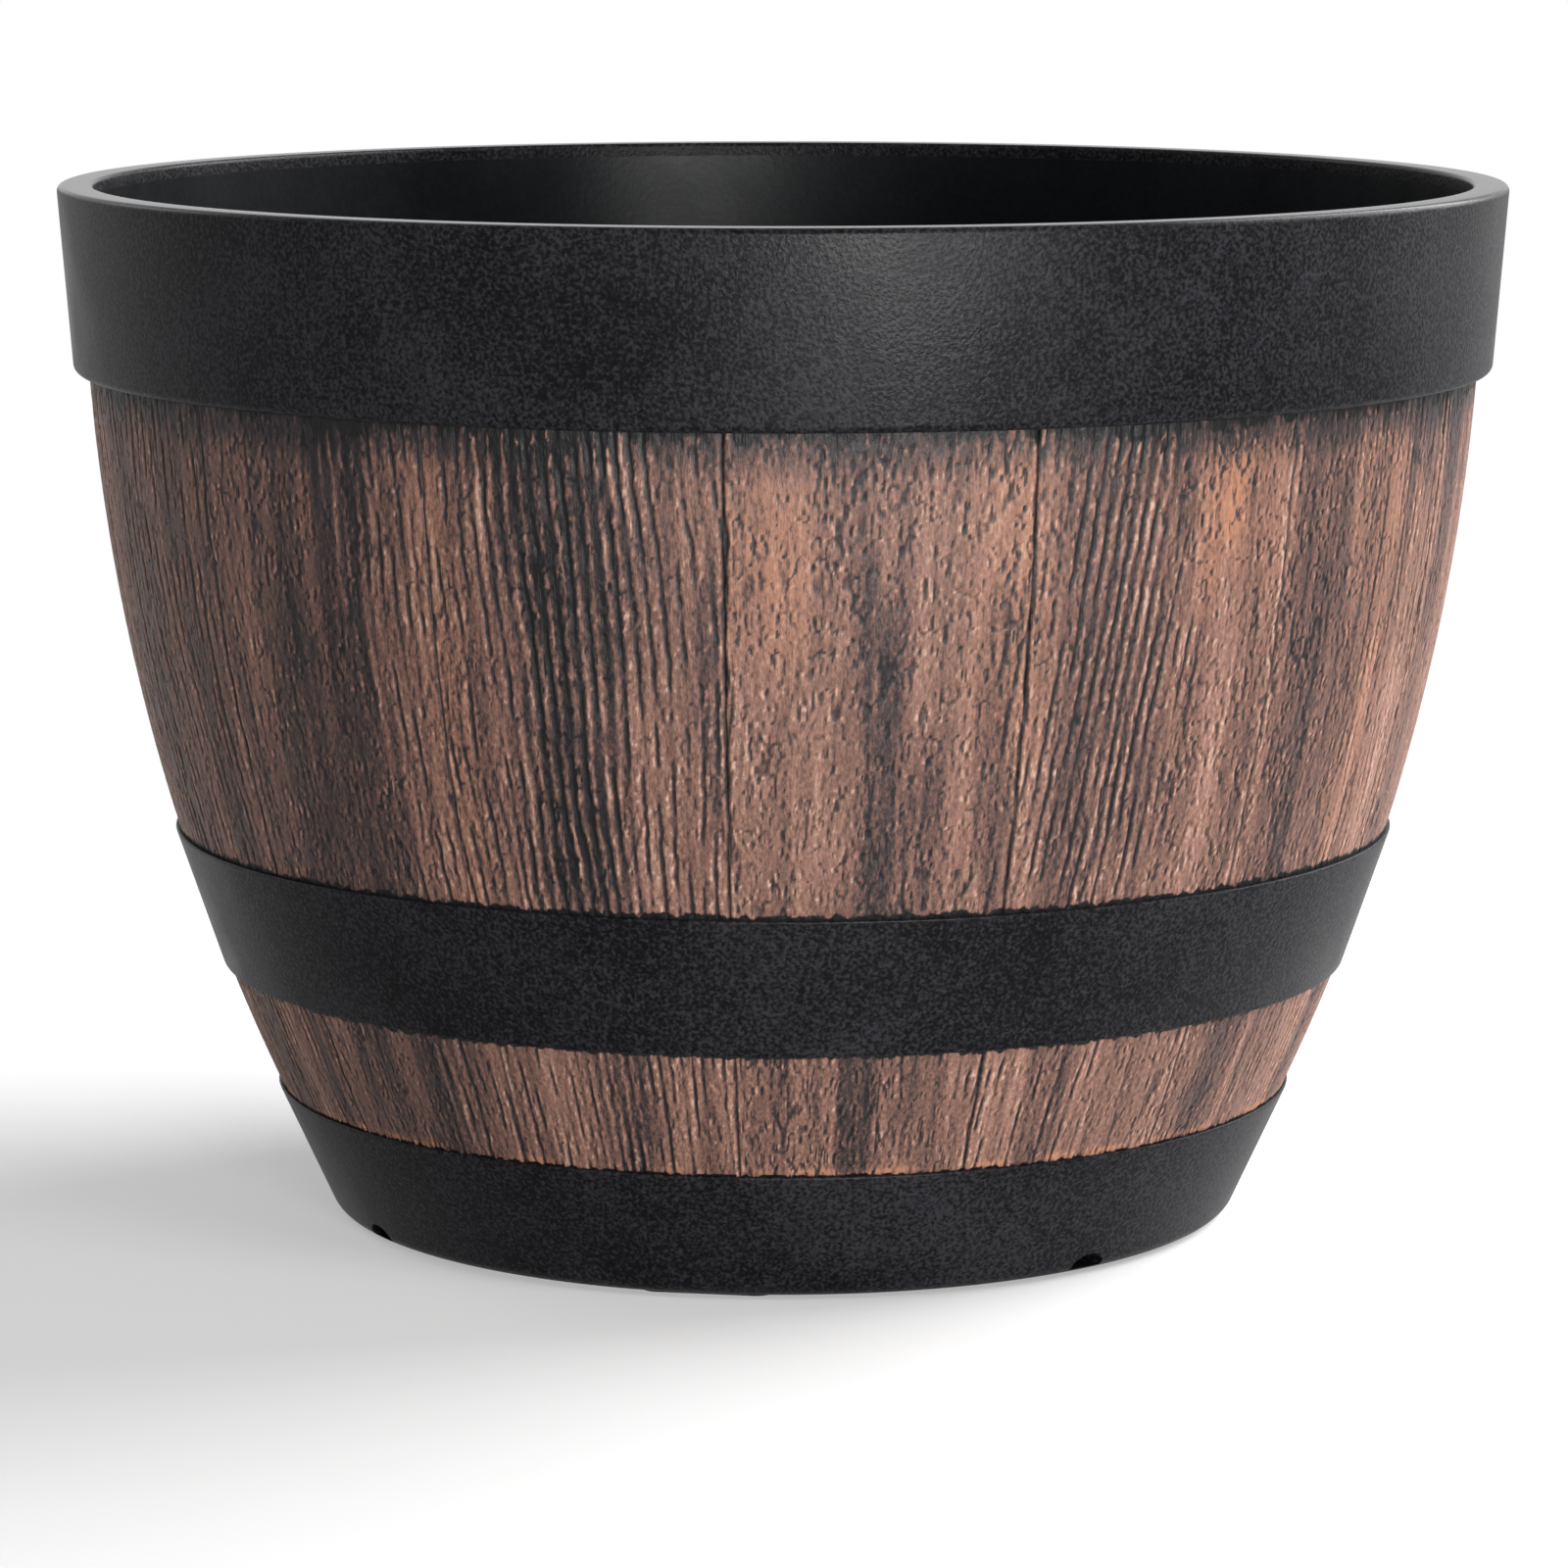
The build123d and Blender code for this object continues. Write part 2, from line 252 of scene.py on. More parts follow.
def rounded(corners: Sequence[tuple[float, float, float]], arc_steps: int = 6) -> Array:
    """Closed outline whose corners are arcs, each tangent to the two sides that meet there.

    With half the corner's angle h, an arc of radius r touches the sides r / tan(h) from the corner, and
    its centre lies r / sin(h) along the bisector.

    Args:
        corners: (radius, height, rounding) of each corner, in order.
        arc_steps: Steps in each arc.

    Returns:
        (radius, height) rows, in order round the outline.
    """
    places = np.array([corner[:2] for corner in corners])
    outline = []
    for k, (here, rounding) in enumerate(zip(places, (corner[2] for corner in corners))):
        if rounding <= 0:
            outline.append(here[None, :])
            continue
        back, ahead = places[k - 1] - here, places[(k + 1) % len(places)] - here
        back, ahead = back / np.linalg.norm(back), ahead / np.linalg.norm(ahead)
        half = math.acos(float(np.clip(back @ ahead, -1, 1))) / 2
        bisector = (back + ahead) / np.linalg.norm(back + ahead)
        centre = here + bisector * rounding / math.sin(half)
        start = here + back * rounding / math.tan(half) - centre
        end = here + ahead * rounding / math.tan(half) - centre
        sweep = math.acos(float(np.clip(start @ end / rounding**2, -1, 1)))
        share = np.linspace(0.0, 1.0, arc_steps + 1)[:, None]
        outline.append(
            centre + (np.sin((1 - share) * sweep) * start + np.sin(share * sweep) * end) / math.sin(sweep)
        )
    return np.concatenate(outline)


def round_axis(radius: Array, angle: Array, height: Array | float) -> Array:
    """Points round the pot's axis: (r sin t, -r cos t, z).

    Args:
        radius: Distances from the axis.
        angle: Turns, in radians.
        height: Heights.

    Returns:
        Points, in the shape that the three make together.
    """
    return np.stack(np.broadcast_arrays(radius * np.sin(angle), -radius * np.cos(angle), height), axis=-1)


def pointers(turn: float) -> tuple[Array, Array]:
    """Unit vectors away from the axis and sideways, at a turn."""
    sine, cosine = math.sin(math.radians(turn)), math.cos(math.radians(turn))
    return np.array([sine, -cosine, 0.0]), np.array([cosine, sine, 0.0])


def revolved(outline: Array, steps: int = 360) -> Surface:
    """Ring made by turning a closed outline about the pot's axis.

    Args:
        outline: (radius, height) rows round the outline.
        steps: Number of even steps of turn.

    Returns:
        The closed ring.
    """
    angles = np.radians(np.arange(steps) * 360.0 / steps)[:, None]
    points = round_axis(outline[:, 0], angles, outline[:, 1])
    return Surface(points.reshape(-1, 3), grid_quads(steps, len(outline), True, True).tolist()).outward()


def turned_solid(profile: Array, steps: int) -> Surface:
    """Solid made by turning an open profile, whose ends lie on the axis, about Z.

    Args:
        profile: (radius, height) rows from one pole to the other; only the ends have radius 0.
        steps: Number of even steps of turn.

    Returns:
        The closed solid, with one point at each pole.
    """
    angles = np.arange(steps) * TAU / steps
    rings = profile[1:-1]
    radius, height = rings[:, :1], rings[:, 1:]
    points = np.stack(np.broadcast_arrays(radius * np.cos(angles), radius * np.sin(angles), height), axis=-1)
    poles = np.array([[0.0, 0.0, profile[0, 1]], [0.0, 0.0, profile[-1, 1]]])
    first = len(rings) * steps
    around = np.arange(steps)
    following = (around + 1) % steps
    base = first - steps
    start_fan = np.stack([np.full(steps, first), following, around], axis=1)
    end_fan = np.stack([np.full(steps, first + 1), base + around, base + following], axis=1)
    faces = grid_quads(len(rings), steps, False, True).tolist() + start_fan.tolist() + end_fan.tolist()
    return Surface(np.concatenate([points.reshape(-1, 3), poles]), faces).outward()


def lofted(sections: Array) -> Surface:
    """Solid through closed sections of as many points each, with a flat face on the first and the last.

    Args:
        sections: Points, as (section, point, xyz).

    Returns:
        The closed solid.
    """
    count, around = sections.shape[:2]
    quads = grid_quads(count, around, False, True).tolist()
    ends = [list(range(around))[::-1], list(range((count - 1) * around, count * around))]
    return Surface(sections.reshape(-1, 3), quads + ends).outward()


def slot_outline(reach: float, steps: int) -> tuple[Array, Array]:
    """Outline of a slot: two half circles, one about each end of a line.

    Args:
        reach: Half the line's length.
        steps: Points in each half circle.

    Returns:
        Unit directions from the ends to the outline's points, and each point's end along the line.
    """
    bend = np.linspace(-np.pi / 2, np.pi / 2, steps)
    arc = np.stack([np.cos(bend), np.sin(bend)], axis=1)
    return np.concatenate([arc, -arc]), np.concatenate([np.full(steps, reach), np.full(steps, -reach)])


@dataclass(frozen=True)
class Finish:
    """A material and the slot that it belongs to."""

    material: bpy.types.Material
    slot: Slot


def add_piece(
    name: str,
    surface: Surface,
    finish: Finish,
    *replaces: str,
    body: Body = Body.POT,
    sharp_bend: float = SHARP_BEND,
    marks: dict[str, Array] | None = None,
) -> bpy.types.Object:
    """Makes a Blender object from a surface, dresses it and puts it on its body.

    Args:
        name: The piece's name.
        surface: Its closed surface, in millimetres.
        finish: Its material and slot.
        *replaces: The nodes that it stands for.
        body: The body that it rides on.
        sharp_bend: Edges that bend by more than this are shaded sharp.
        marks: Named numbers for each point, which the material reads.

    Returns:
        The new object.
    """
    mesh = bpy.data.meshes.new(name)
    mesh.from_pydata((surface.points * METRES).tolist(), [], surface.faces)
    mesh.update()
    mesh.polygons.foreach_set("use_smooth", np.ones(len(mesh.polygons), bool))
    mesh.set_sharp_from_angle(angle=math.radians(sharp_bend))
    for mark, values in (marks or {}).items():
        mesh.attributes.new(mark, "FLOAT", "POINT").data.foreach_set("value", values.astype(np.float32))
    if surface.plan is not None:
        corners = np.empty(len(mesh.loops), np.int32)
        mesh.loops.foreach_get("vertex_index", corners)
        layer = mesh.uv_layers.new(name="OFBake")
        layer.uv.foreach_set("vector", surface.plan[corners].astype(np.float32).ravel())
    mesh.materials.append(finish.material)
    piece = bpy.data.objects.new(name, mesh)
    bpy.context.scene.collection.objects.link(piece)
    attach(piece, body.value)
    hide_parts(*replaces)
    LOG.info("%s: %d faces", name, len(surface.faces))
    return piece


class Recipe:
    """The node tree of a material or a world, with short calls to add, set and join nodes."""

    def __init__(self, owner: bpy.types.Material | bpy.types.World) -> None:
        """Starts the owner's node tree empty."""
        owner.use_nodes = True
        self.owner = owner
        self.owner.node_tree.nodes.clear()

    def node(
        self, kind: str, values: dict[str | int, object] | None = None, **settings: object
    ) -> bpy.types.Node:
        """Adds a node.

        Args:
            kind: The node's type, without its ShaderNode prefix.
            values: Numbers for its sockets, or sockets to join to them, by name or number.
            **settings: The node's own properties.

        Returns:
            The new node.
        """
        made = self.owner.node_tree.nodes.new("ShaderNode" + kind)
        for key, value in settings.items():
            setattr(made, key, value)
        for key, value in (values or {}).items():
            if isinstance(value, bpy.types.NodeSocket):
                self.owner.node_tree.links.new(value, made.inputs[key])
            else:
                made.inputs[key].default_value = value
        return made

    def maths(self, operation: str, *numbers: object) -> bpy.types.NodeSocket:
        """Result of a Math node on numbers or sockets."""
        return self.node("Math", dict(enumerate(numbers)), operation=operation).outputs[0]

    def swayed(self, base: object, pattern: object, amount: float) -> bpy.types.NodeSocket:
        """A number or socket moved by an amount of a pattern's distance from its middle, 0.5."""
        return self.maths("MULTIPLY_ADD", self.maths("SUBTRACT", pattern, 0.5), amount, base)

    def ramp(
        self, value: object, low: float, high: float, start: float = 0.0, end: float = 1.0
    ) -> bpy.types.NodeSocket:
        """Smooth ramp of a socket from start, at low, to end, at high."""
        values = {"Value": value, "From Min": low, "From Max": high, "To Min": start, "To Max": end}
        return self.node("MapRange", values, interpolation_type="SMOOTHSTEP").outputs["Result"]

    def blend(self, share: object, first: object, second: object) -> bpy.types.NodeSocket:
        """Mix of two colours or sockets by a share from 0 to 1. A colour may have three numbers."""
        ends = ((*end, 1.0) if isinstance(end, tuple) else end for end in (first, second))
        return self.node("Mix", {"Factor": share, **dict(zip((6, 7), ends))}, data_type="RGBA").outputs[2]

    def stretched(self, along_z: float) -> bpy.types.NodeSocket:
        """Object coordinates with Z scaled, so that patterns on them run up the piece."""
        place = self.node("TexCoord").outputs["Object"]
        return self.node("Mapping", {"Vector": place, "Scale": (1.0, 1.0, along_z)}).outputs["Vector"]

    def speckle(
        self, place: bpy.types.NodeSocket, scale: float, detail: float = 2.0, rough: float = 0.5
    ) -> bpy.types.NodeSocket:
        """Noise from 0 to 1 at a scale per metre."""
        values = {"Vector": place, "Scale": scale, "Detail": detail, "Roughness": rough}
        return self.node("TexNoise", values).outputs["Fac"]

    def mark(self, name: str) -> bpy.types.NodeSocket:
        """A named number of the piece's points."""
        return self.node("Attribute", attribute_name=name).outputs["Fac"]

    def seen_rays(self) -> bpy.types.NodeSocket:
        """One for camera, glossy and transmission rays, and zero for the others.

        Returns:
            The socket that holds the number.
        """
        path = self.node("LightPath").outputs
        seen = self.maths("MAXIMUM", path["Is Camera Ray"], path["Is Glossy Ray"])
        return self.maths("MAXIMUM", seen, path["Is Transmission Ray"])

    def plastic(
        self, colour: object, rough: object, shine: float, bump: tuple[object, float, object]
    ) -> bpy.types.Material:
        """Joins a plastic shader to the output.

        Args:
            colour: Its colour.
            rough: Its roughness.
            shine: Its specular level.
            bump: The strength, depth in metres and pattern of its bump.

        Returns:
            The finished material.
        """
        relief = self.node("Bump", dict(zip(("Strength", "Distance", "Height"), bump))).outputs[0]
        values = {"Base Color": colour, "Roughness": rough, "Specular IOR Level": shine, "Normal": relief}
        return self.output("Material", self.node("BsdfPrincipled", values))

    def output(self, kind: str, shader: bpy.types.Node) -> bpy.types.Material | bpy.types.World:
        """Joins a shader to the output node of this kind and returns the owner."""
        self.node("Output" + kind, {"Surface": shader.outputs[0]})
        return self.owner


@dataclass(frozen=True)
class PaintedGrain:
    """Brown paint brushed over black plastic: the joints, pits and grooves stay dark."""

    black: Colour = (0.005, 0.005, 0.006)
    tones: tuple[tuple[float, Colour], ...] = (
        (0.00, (0.010, 0.009, 0.011)),
        (0.25, (0.052, 0.035, 0.034)),
        (0.50, (0.180, 0.095, 0.073)),
        (0.72, (0.320, 0.172, 0.129)),
        (1.00, (0.600, 0.390, 0.300)),
    )
    warm_paint: Colour = (0.470, 0.215, 0.118)
    fibre: tuple[float, ...] = (0.16, 2600.0, 3.0, 0.6)
    mottle: tuple[float, ...] = (0.6, 1500.0, 3.0, 0.65)
    tone_sway: float = 0.60
    cover_sway: float = 0.5
    roughness: float = 0.46
    shine: float = 0.15
    bump_strength: float = 0.8
    bump_depth: float = 0.00020

    def material(self) -> bpy.types.Material:
        """Builds the finish.

        Returns:
            A material that reads the marks paint, tone and warm.
        """
        recipe = Recipe(bpy.data.materials.new("painted_grain"))
        fibre, mottle = (
            recipe.speckle(recipe.stretched(along), *rest) for along, *rest in (self.fibre, self.mottle)
        )
        tone = recipe.swayed(recipe.mark("tone"), fibre, self.tone_sway)
        tone = recipe.swayed(tone, mottle, self.tone_sway)
        palette = recipe.node("ValToRGB", {"Fac": tone})
        elements = palette.color_ramp.elements
        while len(elements) < len(self.tones):
            elements.new(0.5)
        for element, (place, colour) in zip(elements, self.tones):
            element.position = place
            element.color = (*colour, 1.0)
        warm = recipe.maths("MULTIPLY", recipe.mark("warm"), recipe.ramp(tone, 0.3, 0.8))
        brown = recipe.blend(warm, palette.outputs["Color"], self.warm_paint)
        cover = recipe.ramp(recipe.swayed(recipe.mark("paint"), fibre, self.cover_sway), 0.25, 0.75)
        colour = recipe.blend(cover, self.black, brown)
        rough = recipe.ramp(fibre, 0.2, 0.8, self.roughness - 0.08, self.roughness + 0.12)
        bump = (self.bump_strength, self.bump_depth, recipe.maths("ADD", fibre, mottle))
        return recipe.plastic(colour, rough, self.shine, bump)


@dataclass(frozen=True)
class MouldedBlack:
    """Black plastic or rubber with the fine spark texture of its mould. Heights and depths are in metres."""

    name: str
    colour: Colour
    specks_and_glints: Colour
    roughness: float
    shine: float
    grain_per_metre: float = 1250.0
    grain_depth: float = 0.00015
    grain_strength: float = 0.8
    cloud_per_metre: float = 28.0
    cloud_sway: float = 0.35
    smooth_above: float | None = None
    smooth_blend: float = 0.0006
    smooth_roughness: float = 0.20
    smoothed_away: float = 0.85

    def material(self) -> bpy.types.Material:
        """Builds the finish.

        Returns:
            A material whose colour, roughness and bump follow one fine grain and slow wear.
        """
        recipe = Recipe(bpy.data.materials.new(self.name))
        place = recipe.stretched(1.0)
        grain = recipe.speckle(place, self.grain_per_metre, 2.0, 0.55)
        cloud = recipe.speckle(place, self.cloud_per_metre, 3.0, 0.6)
        lit = recipe.swayed(grain, cloud, self.cloud_sway)
        # The lighter specks are partly the grain's own mottling and partly painted glints of the spark
        # texture.
        colour = recipe.blend(recipe.ramp(lit, 0.36, 0.74), self.colour, self.specks_and_glints)
        rough = recipe.ramp(cloud, 0.3, 0.7, self.roughness - 0.05, self.roughness + 0.06)
        strength = full = self.grain_strength
        if self.smooth_above is not None:
            height = recipe.node("SeparateXYZ", {0: place}).outputs["Z"]
            handled = recipe.ramp(height, self.smooth_above, self.smooth_above + self.smooth_blend)
            smoother = recipe.maths("SUBTRACT", self.smooth_roughness, rough)
            rough = recipe.maths("MULTIPLY_ADD", handled, smoother, rough)
            strength = recipe.maths("MULTIPLY_ADD", handled, -self.smoothed_away * full, full)
        return recipe.plastic(colour, rough, self.shine, (strength, self.grain_depth, grain))


@dataclass(frozen=True)
class Finishes:
    """The finishes of the pot, built once."""

    wood: Finish
    band: Finish
    inside: Finish
    rivet: Finish
    floor: Finish
    rubber: Finish

    @staticmethod
    def mixed() -> "Finishes":
        """Builds every finish: the paint, then each black's colour, specks, roughness, shine and grain.

        Returns:
            The set of finishes.
        """
        wood = Finish(PaintedGrain().material(), Slot.WOOD)
        # On the band, the specks colour is partly painted glints of the spark texture, not only mottling of
        # the grain.
        rows = (
            (Slot.BAND, "spark_textured_band", (0.003, 0.003, 0.004), (0.032, 0.031, 0.036), 0.40, 0.06),
            (Slot.FLOOR, "smooth_inside", (0.003, 0.004, 0.005), (0.006, 0.007, 0.009), 0.36, 0.1, 700, 4e-5),
            (Slot.RIVET, "worn_rivet", (0.008, 0.008, 0.010), (0.050, 0.050, 0.055), 0.36, 0.25, 1100),
            (Slot.FLOOR, "plain_floor", (0.008, 0.008, 0.009), (0.018, 0.018, 0.020), 0.48, 0.3, 900),
            (Slot.RUBBER, "matte_rubber", (0.012, 0.012, 0.012), (0.026, 0.026, 0.027), 0.72, 0.3, 2200),
        )
        lip_smooth_above = 0.2191
        blacks = []
        for slot, *row in rows:
            smooth_above = lip_smooth_above if slot is Slot.BAND else None
            blacks.append(Finish(MouldedBlack(*row, smooth_above=smooth_above).material(), slot))
        return Finishes(wood, *blacks)


@dataclass(frozen=True)
class PotForm:
    """Sizes that the sub-assemblies share. The wall bows along an arc through three points."""

    height: float = round(cad_high.z / METRES, 1)
    wall_top_radius: float = 147.6
    wall_foot_radius: float = 98.2
    wall_low: float = 8.0
    wall_high: float = 217.0
    stave_bow: float = 13.8
    skirt_low: float = 181.0
    hoop_low: float = 55.0
    hoop_high: float = 84.0
    foot_high: float = 28.3
    reference_radius: float = 138.0

    def arc(self) -> tuple[float, float, float]:
        """Centre and radius of the bow's arc, from the two perpendicular bisectors' crossing.

        Returns:
            The centre's radius and height, and the arc's radius.
        """
        ax, ay = self.wall_foot_radius, self.wall_low
        cx, cy = self.wall_top_radius, self.wall_high
        bx, by = (ax + cx) / 2 + self.stave_bow, (ay + cy) / 2
        twice_area = 2 * (ax * (by - cy) + bx * (cy - ay) + cx * (ay - by))
        a2, b2, c2 = ax * ax + ay * ay, bx * bx + by * by, cx * cx + cy * cy
        x = (a2 * (by - cy) + b2 * (cy - ay) + c2 * (ay - by)) / twice_area
        y = (a2 * (cx - bx) + b2 * (ax - cx) + c2 * (bx - ax)) / twice_area
        return x, y, math.hypot(ax - x, ay - y)

    def radius(self, height: Array | float, offset: Array | float = 0.0) -> Array:
        """Radius of the bowed wall, moved outward: the arc's centre plus the root of (R + offset)^2 - dz^2.

        Args:
            height: Heights on the wall.
            offset: Distance outward from the wall's face.

        Returns:
            Radii at those heights.
        """
        x, z, reach = self.arc()
        return x + np.sqrt((reach + np.asarray(offset)) ** 2 - (np.asarray(height) - z) ** 2)

    def wall_line(
        self, low: float, high: float, offset: float, steps: int = 24
    ) -> list[tuple[float, float, float]]:
        """Points up the bowed wall between two heights, as corners with no rounding."""
        heights = np.linspace(low, high, steps + 1)
        return [(float(r), float(z), 0.0) for r, z in zip(self.radius(heights, offset), heights)]


def turns_apart(turn: Array, other: float) -> Array:
    """Degrees between turns and another turn, the short way round."""
    return np.abs((turn - other + 180.0) % 360.0 - 180.0)


@dataclass(frozen=True)
class Brushmark:
    """A stroke that runs down the staves: darker or warmer paint, and in a few rows painted shade or painted
    light on one side of the pot.
    """

    turn: float
    half_width: float
    low: float
    high: float
    strength: float

    def cover(self, turn: Array, height: Array, ragged: Array, soft: float = 9) -> Array:
        """How much of the stroke lies on each place: a bell across, and soft ends up and down.

        Args:
            turn: Turns of the places.
            height: Heights of the places.
            ragged: Numbers of -1 to 1 that make the stroke's sides uneven.
            soft: Half the length over which an end fades.

        Returns:
            Numbers from 0 to the stroke's strength.
        """
        across = np.exp(-((turns_apart(turn, self.turn) / (self.half_width * (1 + 0.45 * ragged))) ** 2.4))
        up = height + 12 * ragged
        ends = smoothstep(self.low - soft, self.low + soft, up)
        ends = ends * (1 - smoothstep(self.high - soft, self.high + soft, up))
        return self.strength * across * ends


@dataclass(frozen=True)
class GrainField:
    """A run of parallel grain grooves, leaning by so many millimetres a millimetre of height."""

    turn: float
    half_width: float
    lean: float
    strength: float = 1.0


# Runs of grooves: turn, half width, lean and, where it isn't full, strength.
GRAIN_FIELDS = (
    (-25.0, 10.0, 0.05), (-12.5, 8.0, 0.0), (26.0, 7.5, -0.10), (-64.0, 11.0, 0.03, 0.9),
    (62.0, 7.0, -0.05, 0.6), (96.0, 9.0, 0.06), (128.0, 8.0, -0.05), (163.0, 11.0, 0.04),
    (-96.0, 8.0, 0.04), (-127.0, 10.0, -0.06), (-158.0, 7.0, 0.05),
)
# Strokes: turn, half width, low end, high end and strength, which is negative where one lightens. The rows at
# -54 and -68 are painted shade on the pot's left side, and the row at 63 is painted light on its right side;
# the others are darker or lighter paint.
DARK_STROKES_AND_PAINTED_SIDE_LIGHT = (
    (-37.0, 4.8, 20, 190, 0.62), (-45.0, 3.2, 20, 190, 0.38), (-20.5, 4.4, 142, 190, 0.70),
    (-35.0, 4.5, 155, 190, 0.34), (-17.8, 4.6, 88, 190, 0.90), (36.5, 2.6, 172, 190, 0.30),
    (67.0, 7.0, 162, 190, 0.36), (-13.8, 2.8, 132, 190, 0.75), (-16.0, 3.0, 20, 110, 0.52),
    (-54.0, 5.0, 20, 190, 0.34), (-68.0, 4.0, 20, 190, 0.30), (-5.4, 0.9, 108, 152, 0.36),
    (7.4, 2.1, 20, 152, 0.48), (6.0, 3.0, 172, 190, 0.20), (11.5, 1.6, 40, 120, 0.25),
    (17.4, 1.6, 84, 152, 0.38), (24.0, 2.2, 60, 190, 0.30), (28.8, 3.6, 96, 190, 0.56),
    (27.5, 2.4, 20, 60, 0.32), (48.5, 3.4, 20, 190, 0.40), (70.5, 3.0, 20, 190, 0.40),
    (63.0, 8.0, 20, 125, -0.14), (-36.1, 0.45, 66, 190, -0.30), (-32.7, 0.45, 72, 190, -0.34),
    (-29.8, 0.40, 60, 190, -0.30),
)
WARM_STROKES = (
    (-1.0, 4.0, 140, 174, 0.55), (37.5, 3.2, 150, 184, 0.80), (18.0, 3.0, 120, 184, 0.35),
    (-27.0, 2.6, 60, 184, 0.30), (57.0, 4.0, 80, 184, 0.35),
)
# Layered noises on the wall: height, step across, step up, seed and number of layers.
PATTERNS = {
    "field edge": (0.55, 7.0, 34.0, 20, 3),
    "slow wobble": (2.6, 26.0, 46.0, 1, 2),
    "quick wobble": (0.34, 5.0, 3.4, 4, 3),
    "broad relief": (1.0, 9.0, 60.0, 30, 3),
    "pit wobble": (0.22, 2.0, 4.0, 31, 2),
    "rough skin": (0.06, 0.7, 1.8, 32, 2),
    "long skin": (0.07, 0.9, 12.0, 34, 2),
    "ragged": (1.0, 5.0, 30.0, 80, 3),
    "streak": (1.0, 3.6, 55.0, 84, 3),
    "thread": (1.0, 0.8, 16.0, 86, 2),
    "broad tone": (1.0, 17.0, 120.0, 88, 2),
    "frayed": (1.0, 1.6, 5.0, 92, 3),
    "slow fray": (1.0, 9.0, 30.0, 95, 2),
}


@dataclass
class StavedWall:
    """The painted staves, each a closed shell with moulded grain, over a smooth black lining."""

    form: PotForm
    finishes: Finishes
    stave_count: int = 15
    first_joint: float = -4.5
    joint_reach: float = 0.85
    strong_joints: tuple[int, ...] = (-3, 3)
    strong_joint: float = 0.85
    columns: int = 162
    row_step: float = 0.52
    hidden_step: float = 6.0
    behind_strap: float = 0.8
    behind_skirt: float = 1.5
    back_offset: float = -1.2
    lining_offset: float = -1.25
    inner_offset: float = -2.4
    back_columns: int = 7
    ridge_pitch: float = 2.75
    groove_depth: float = 0.44
    deepest: float = 1.05
    edge_reach: int = 3
    back_dark: tuple[int, int, float] = (5, 19, 0.72)
    back_warm: tuple[int, int, float] = (8, 9, 0.6)
    seed: int = 11

    def pattern(self, name: str, across: Array, up: Array) -> Array:
        """The layered noise of this name at distances round the pot and heights."""
        tall, step_across, step_up, seed, layers = PATTERNS[name]
        return tall * layered_noise(across / step_across, up / step_up, self.seed + seed, layers)

    def rows(self) -> Array:
        """Heights of the mesh rows: close where the wall shows, wide apart behind the bands.

        Returns:
            Heights from the wall's foot to its top.
        """
        form, step, far_step = self.form, self.row_step, self.hidden_step
        starts = (
            (form.wall_low, far_step),
            (form.foot_high - self.behind_strap, step),
            (form.hoop_low + self.behind_strap, far_step),
            (form.hoop_high - self.behind_strap, step),
            (form.skirt_low + self.behind_skirt, far_step),
            (form.wall_high, far_step),
        )
        parts = [
            np.linspace(low, high, max(2, round((high - low) / step)), endpoint=False)
            for (low, step), (high, _) in zip(starts, starts[1:])
        ]
        return np.concatenate([*parts, [form.wall_high]])

    def joint_depth(self, turn: Array, height: Array) -> Array:
        """Depth of the joints: a V of about 1.5 mm whose strength is each joint's own and wanders up it.

        Args:
            turn: Turns of the places.
            height: Heights of the places.

        Returns:
            Depths below the wall's face, in millimetres.
        """
        spacing = 360.0 / self.stave_count
        number = np.round((turn - self.first_joint) / spacing)
        wander = 0.55 * layered_noise(height / 7.0, number * 3.7, self.seed + 40, 2)
        turned = turn - self.first_joint - number * spacing
        away = np.abs(turned * math.radians(1) * self.form.reference_radius + wander)
        strength = 0.30 + 0.34 * scatter(number % self.stave_count, number * 0, self.seed + 41)
        strength = np.where(number == 0, 0.42 + 0.38 * smoothstep(100.0, 135.0, height), strength)
        strength = np.where(np.isin(number, self.strong_joints), self.strong_joint, strength)
        uneven = 0.72 + 0.28 * layered_noise(height / 4.0, number * 5.1, self.seed + 42, 2)
        return strength * uneven * np.clip(1 - away / self.joint_reach, 0, 1) ** 0.9

    def field_cover(self, across: Array, up: Array, turn: Array) -> tuple[Array, Array]:
        """How grooved each place is, and how its grain leans.

        Args:
            across: Distances round the pot.
            up: Heights of the places.
            turn: Turns of the places.

        Returns:
            The cover, from 0 to 1, and the lean.
        """
        edge = self.pattern("field edge", across, up)
        cover, lean = np.zeros(turn.shape), np.zeros(turn.shape)
        for grain in (GrainField(*row) for row in GRAIN_FIELDS):
            away = turns_apart(turn, grain.turn) / grain.half_width
            near = grain.strength * (1 - smoothstep(0.75, 1.35, away + edge))
            lean = lean + grain.strength * (1 - smoothstep(0.8, 2.8, away)) * grain.lean
            cover = np.maximum(cover, near)
        return cover, lean

    def grooved(self, across: Array, up: Array, lean: Array) -> tuple[Array, Array]:
        """Parallel grain: grooves that wobble, fork and fade, with a crest between each two.

        The groove across one pitch is (1 - cos) / 2 to a power, on a coordinate that leans and wobbles.

        Args:
            across: Distances round the pot.
            up: Heights of the places.
            lean: How far the grain leans.

        Returns:
            Groove depth and crest height, both from 0 to 1.
        """
        wobble = self.pattern("slow wobble", across, up), self.pattern("quick wobble", across, up)
        phase = (across + wobble[0] + wobble[1] + lean * (up - 100.0)) / self.ridge_pitch
        number, wave = np.floor(phase), np.cos(TAU * phase)
        length = noise(number, up / 8.0, self.seed + 6) + 0.5 * noise(number, up / 1.9, self.seed + 7)
        present = smoothstep(-0.55, 0.75, length)
        broken = 0.66 + 0.34 * noise(number, up / 1.3, self.seed + 8)
        groove = (0.5 - 0.5 * wave) ** 4.2 * (0.12 + 0.88 * present)
        return groove, (0.5 + 0.5 * wave) ** 3.6 * broken

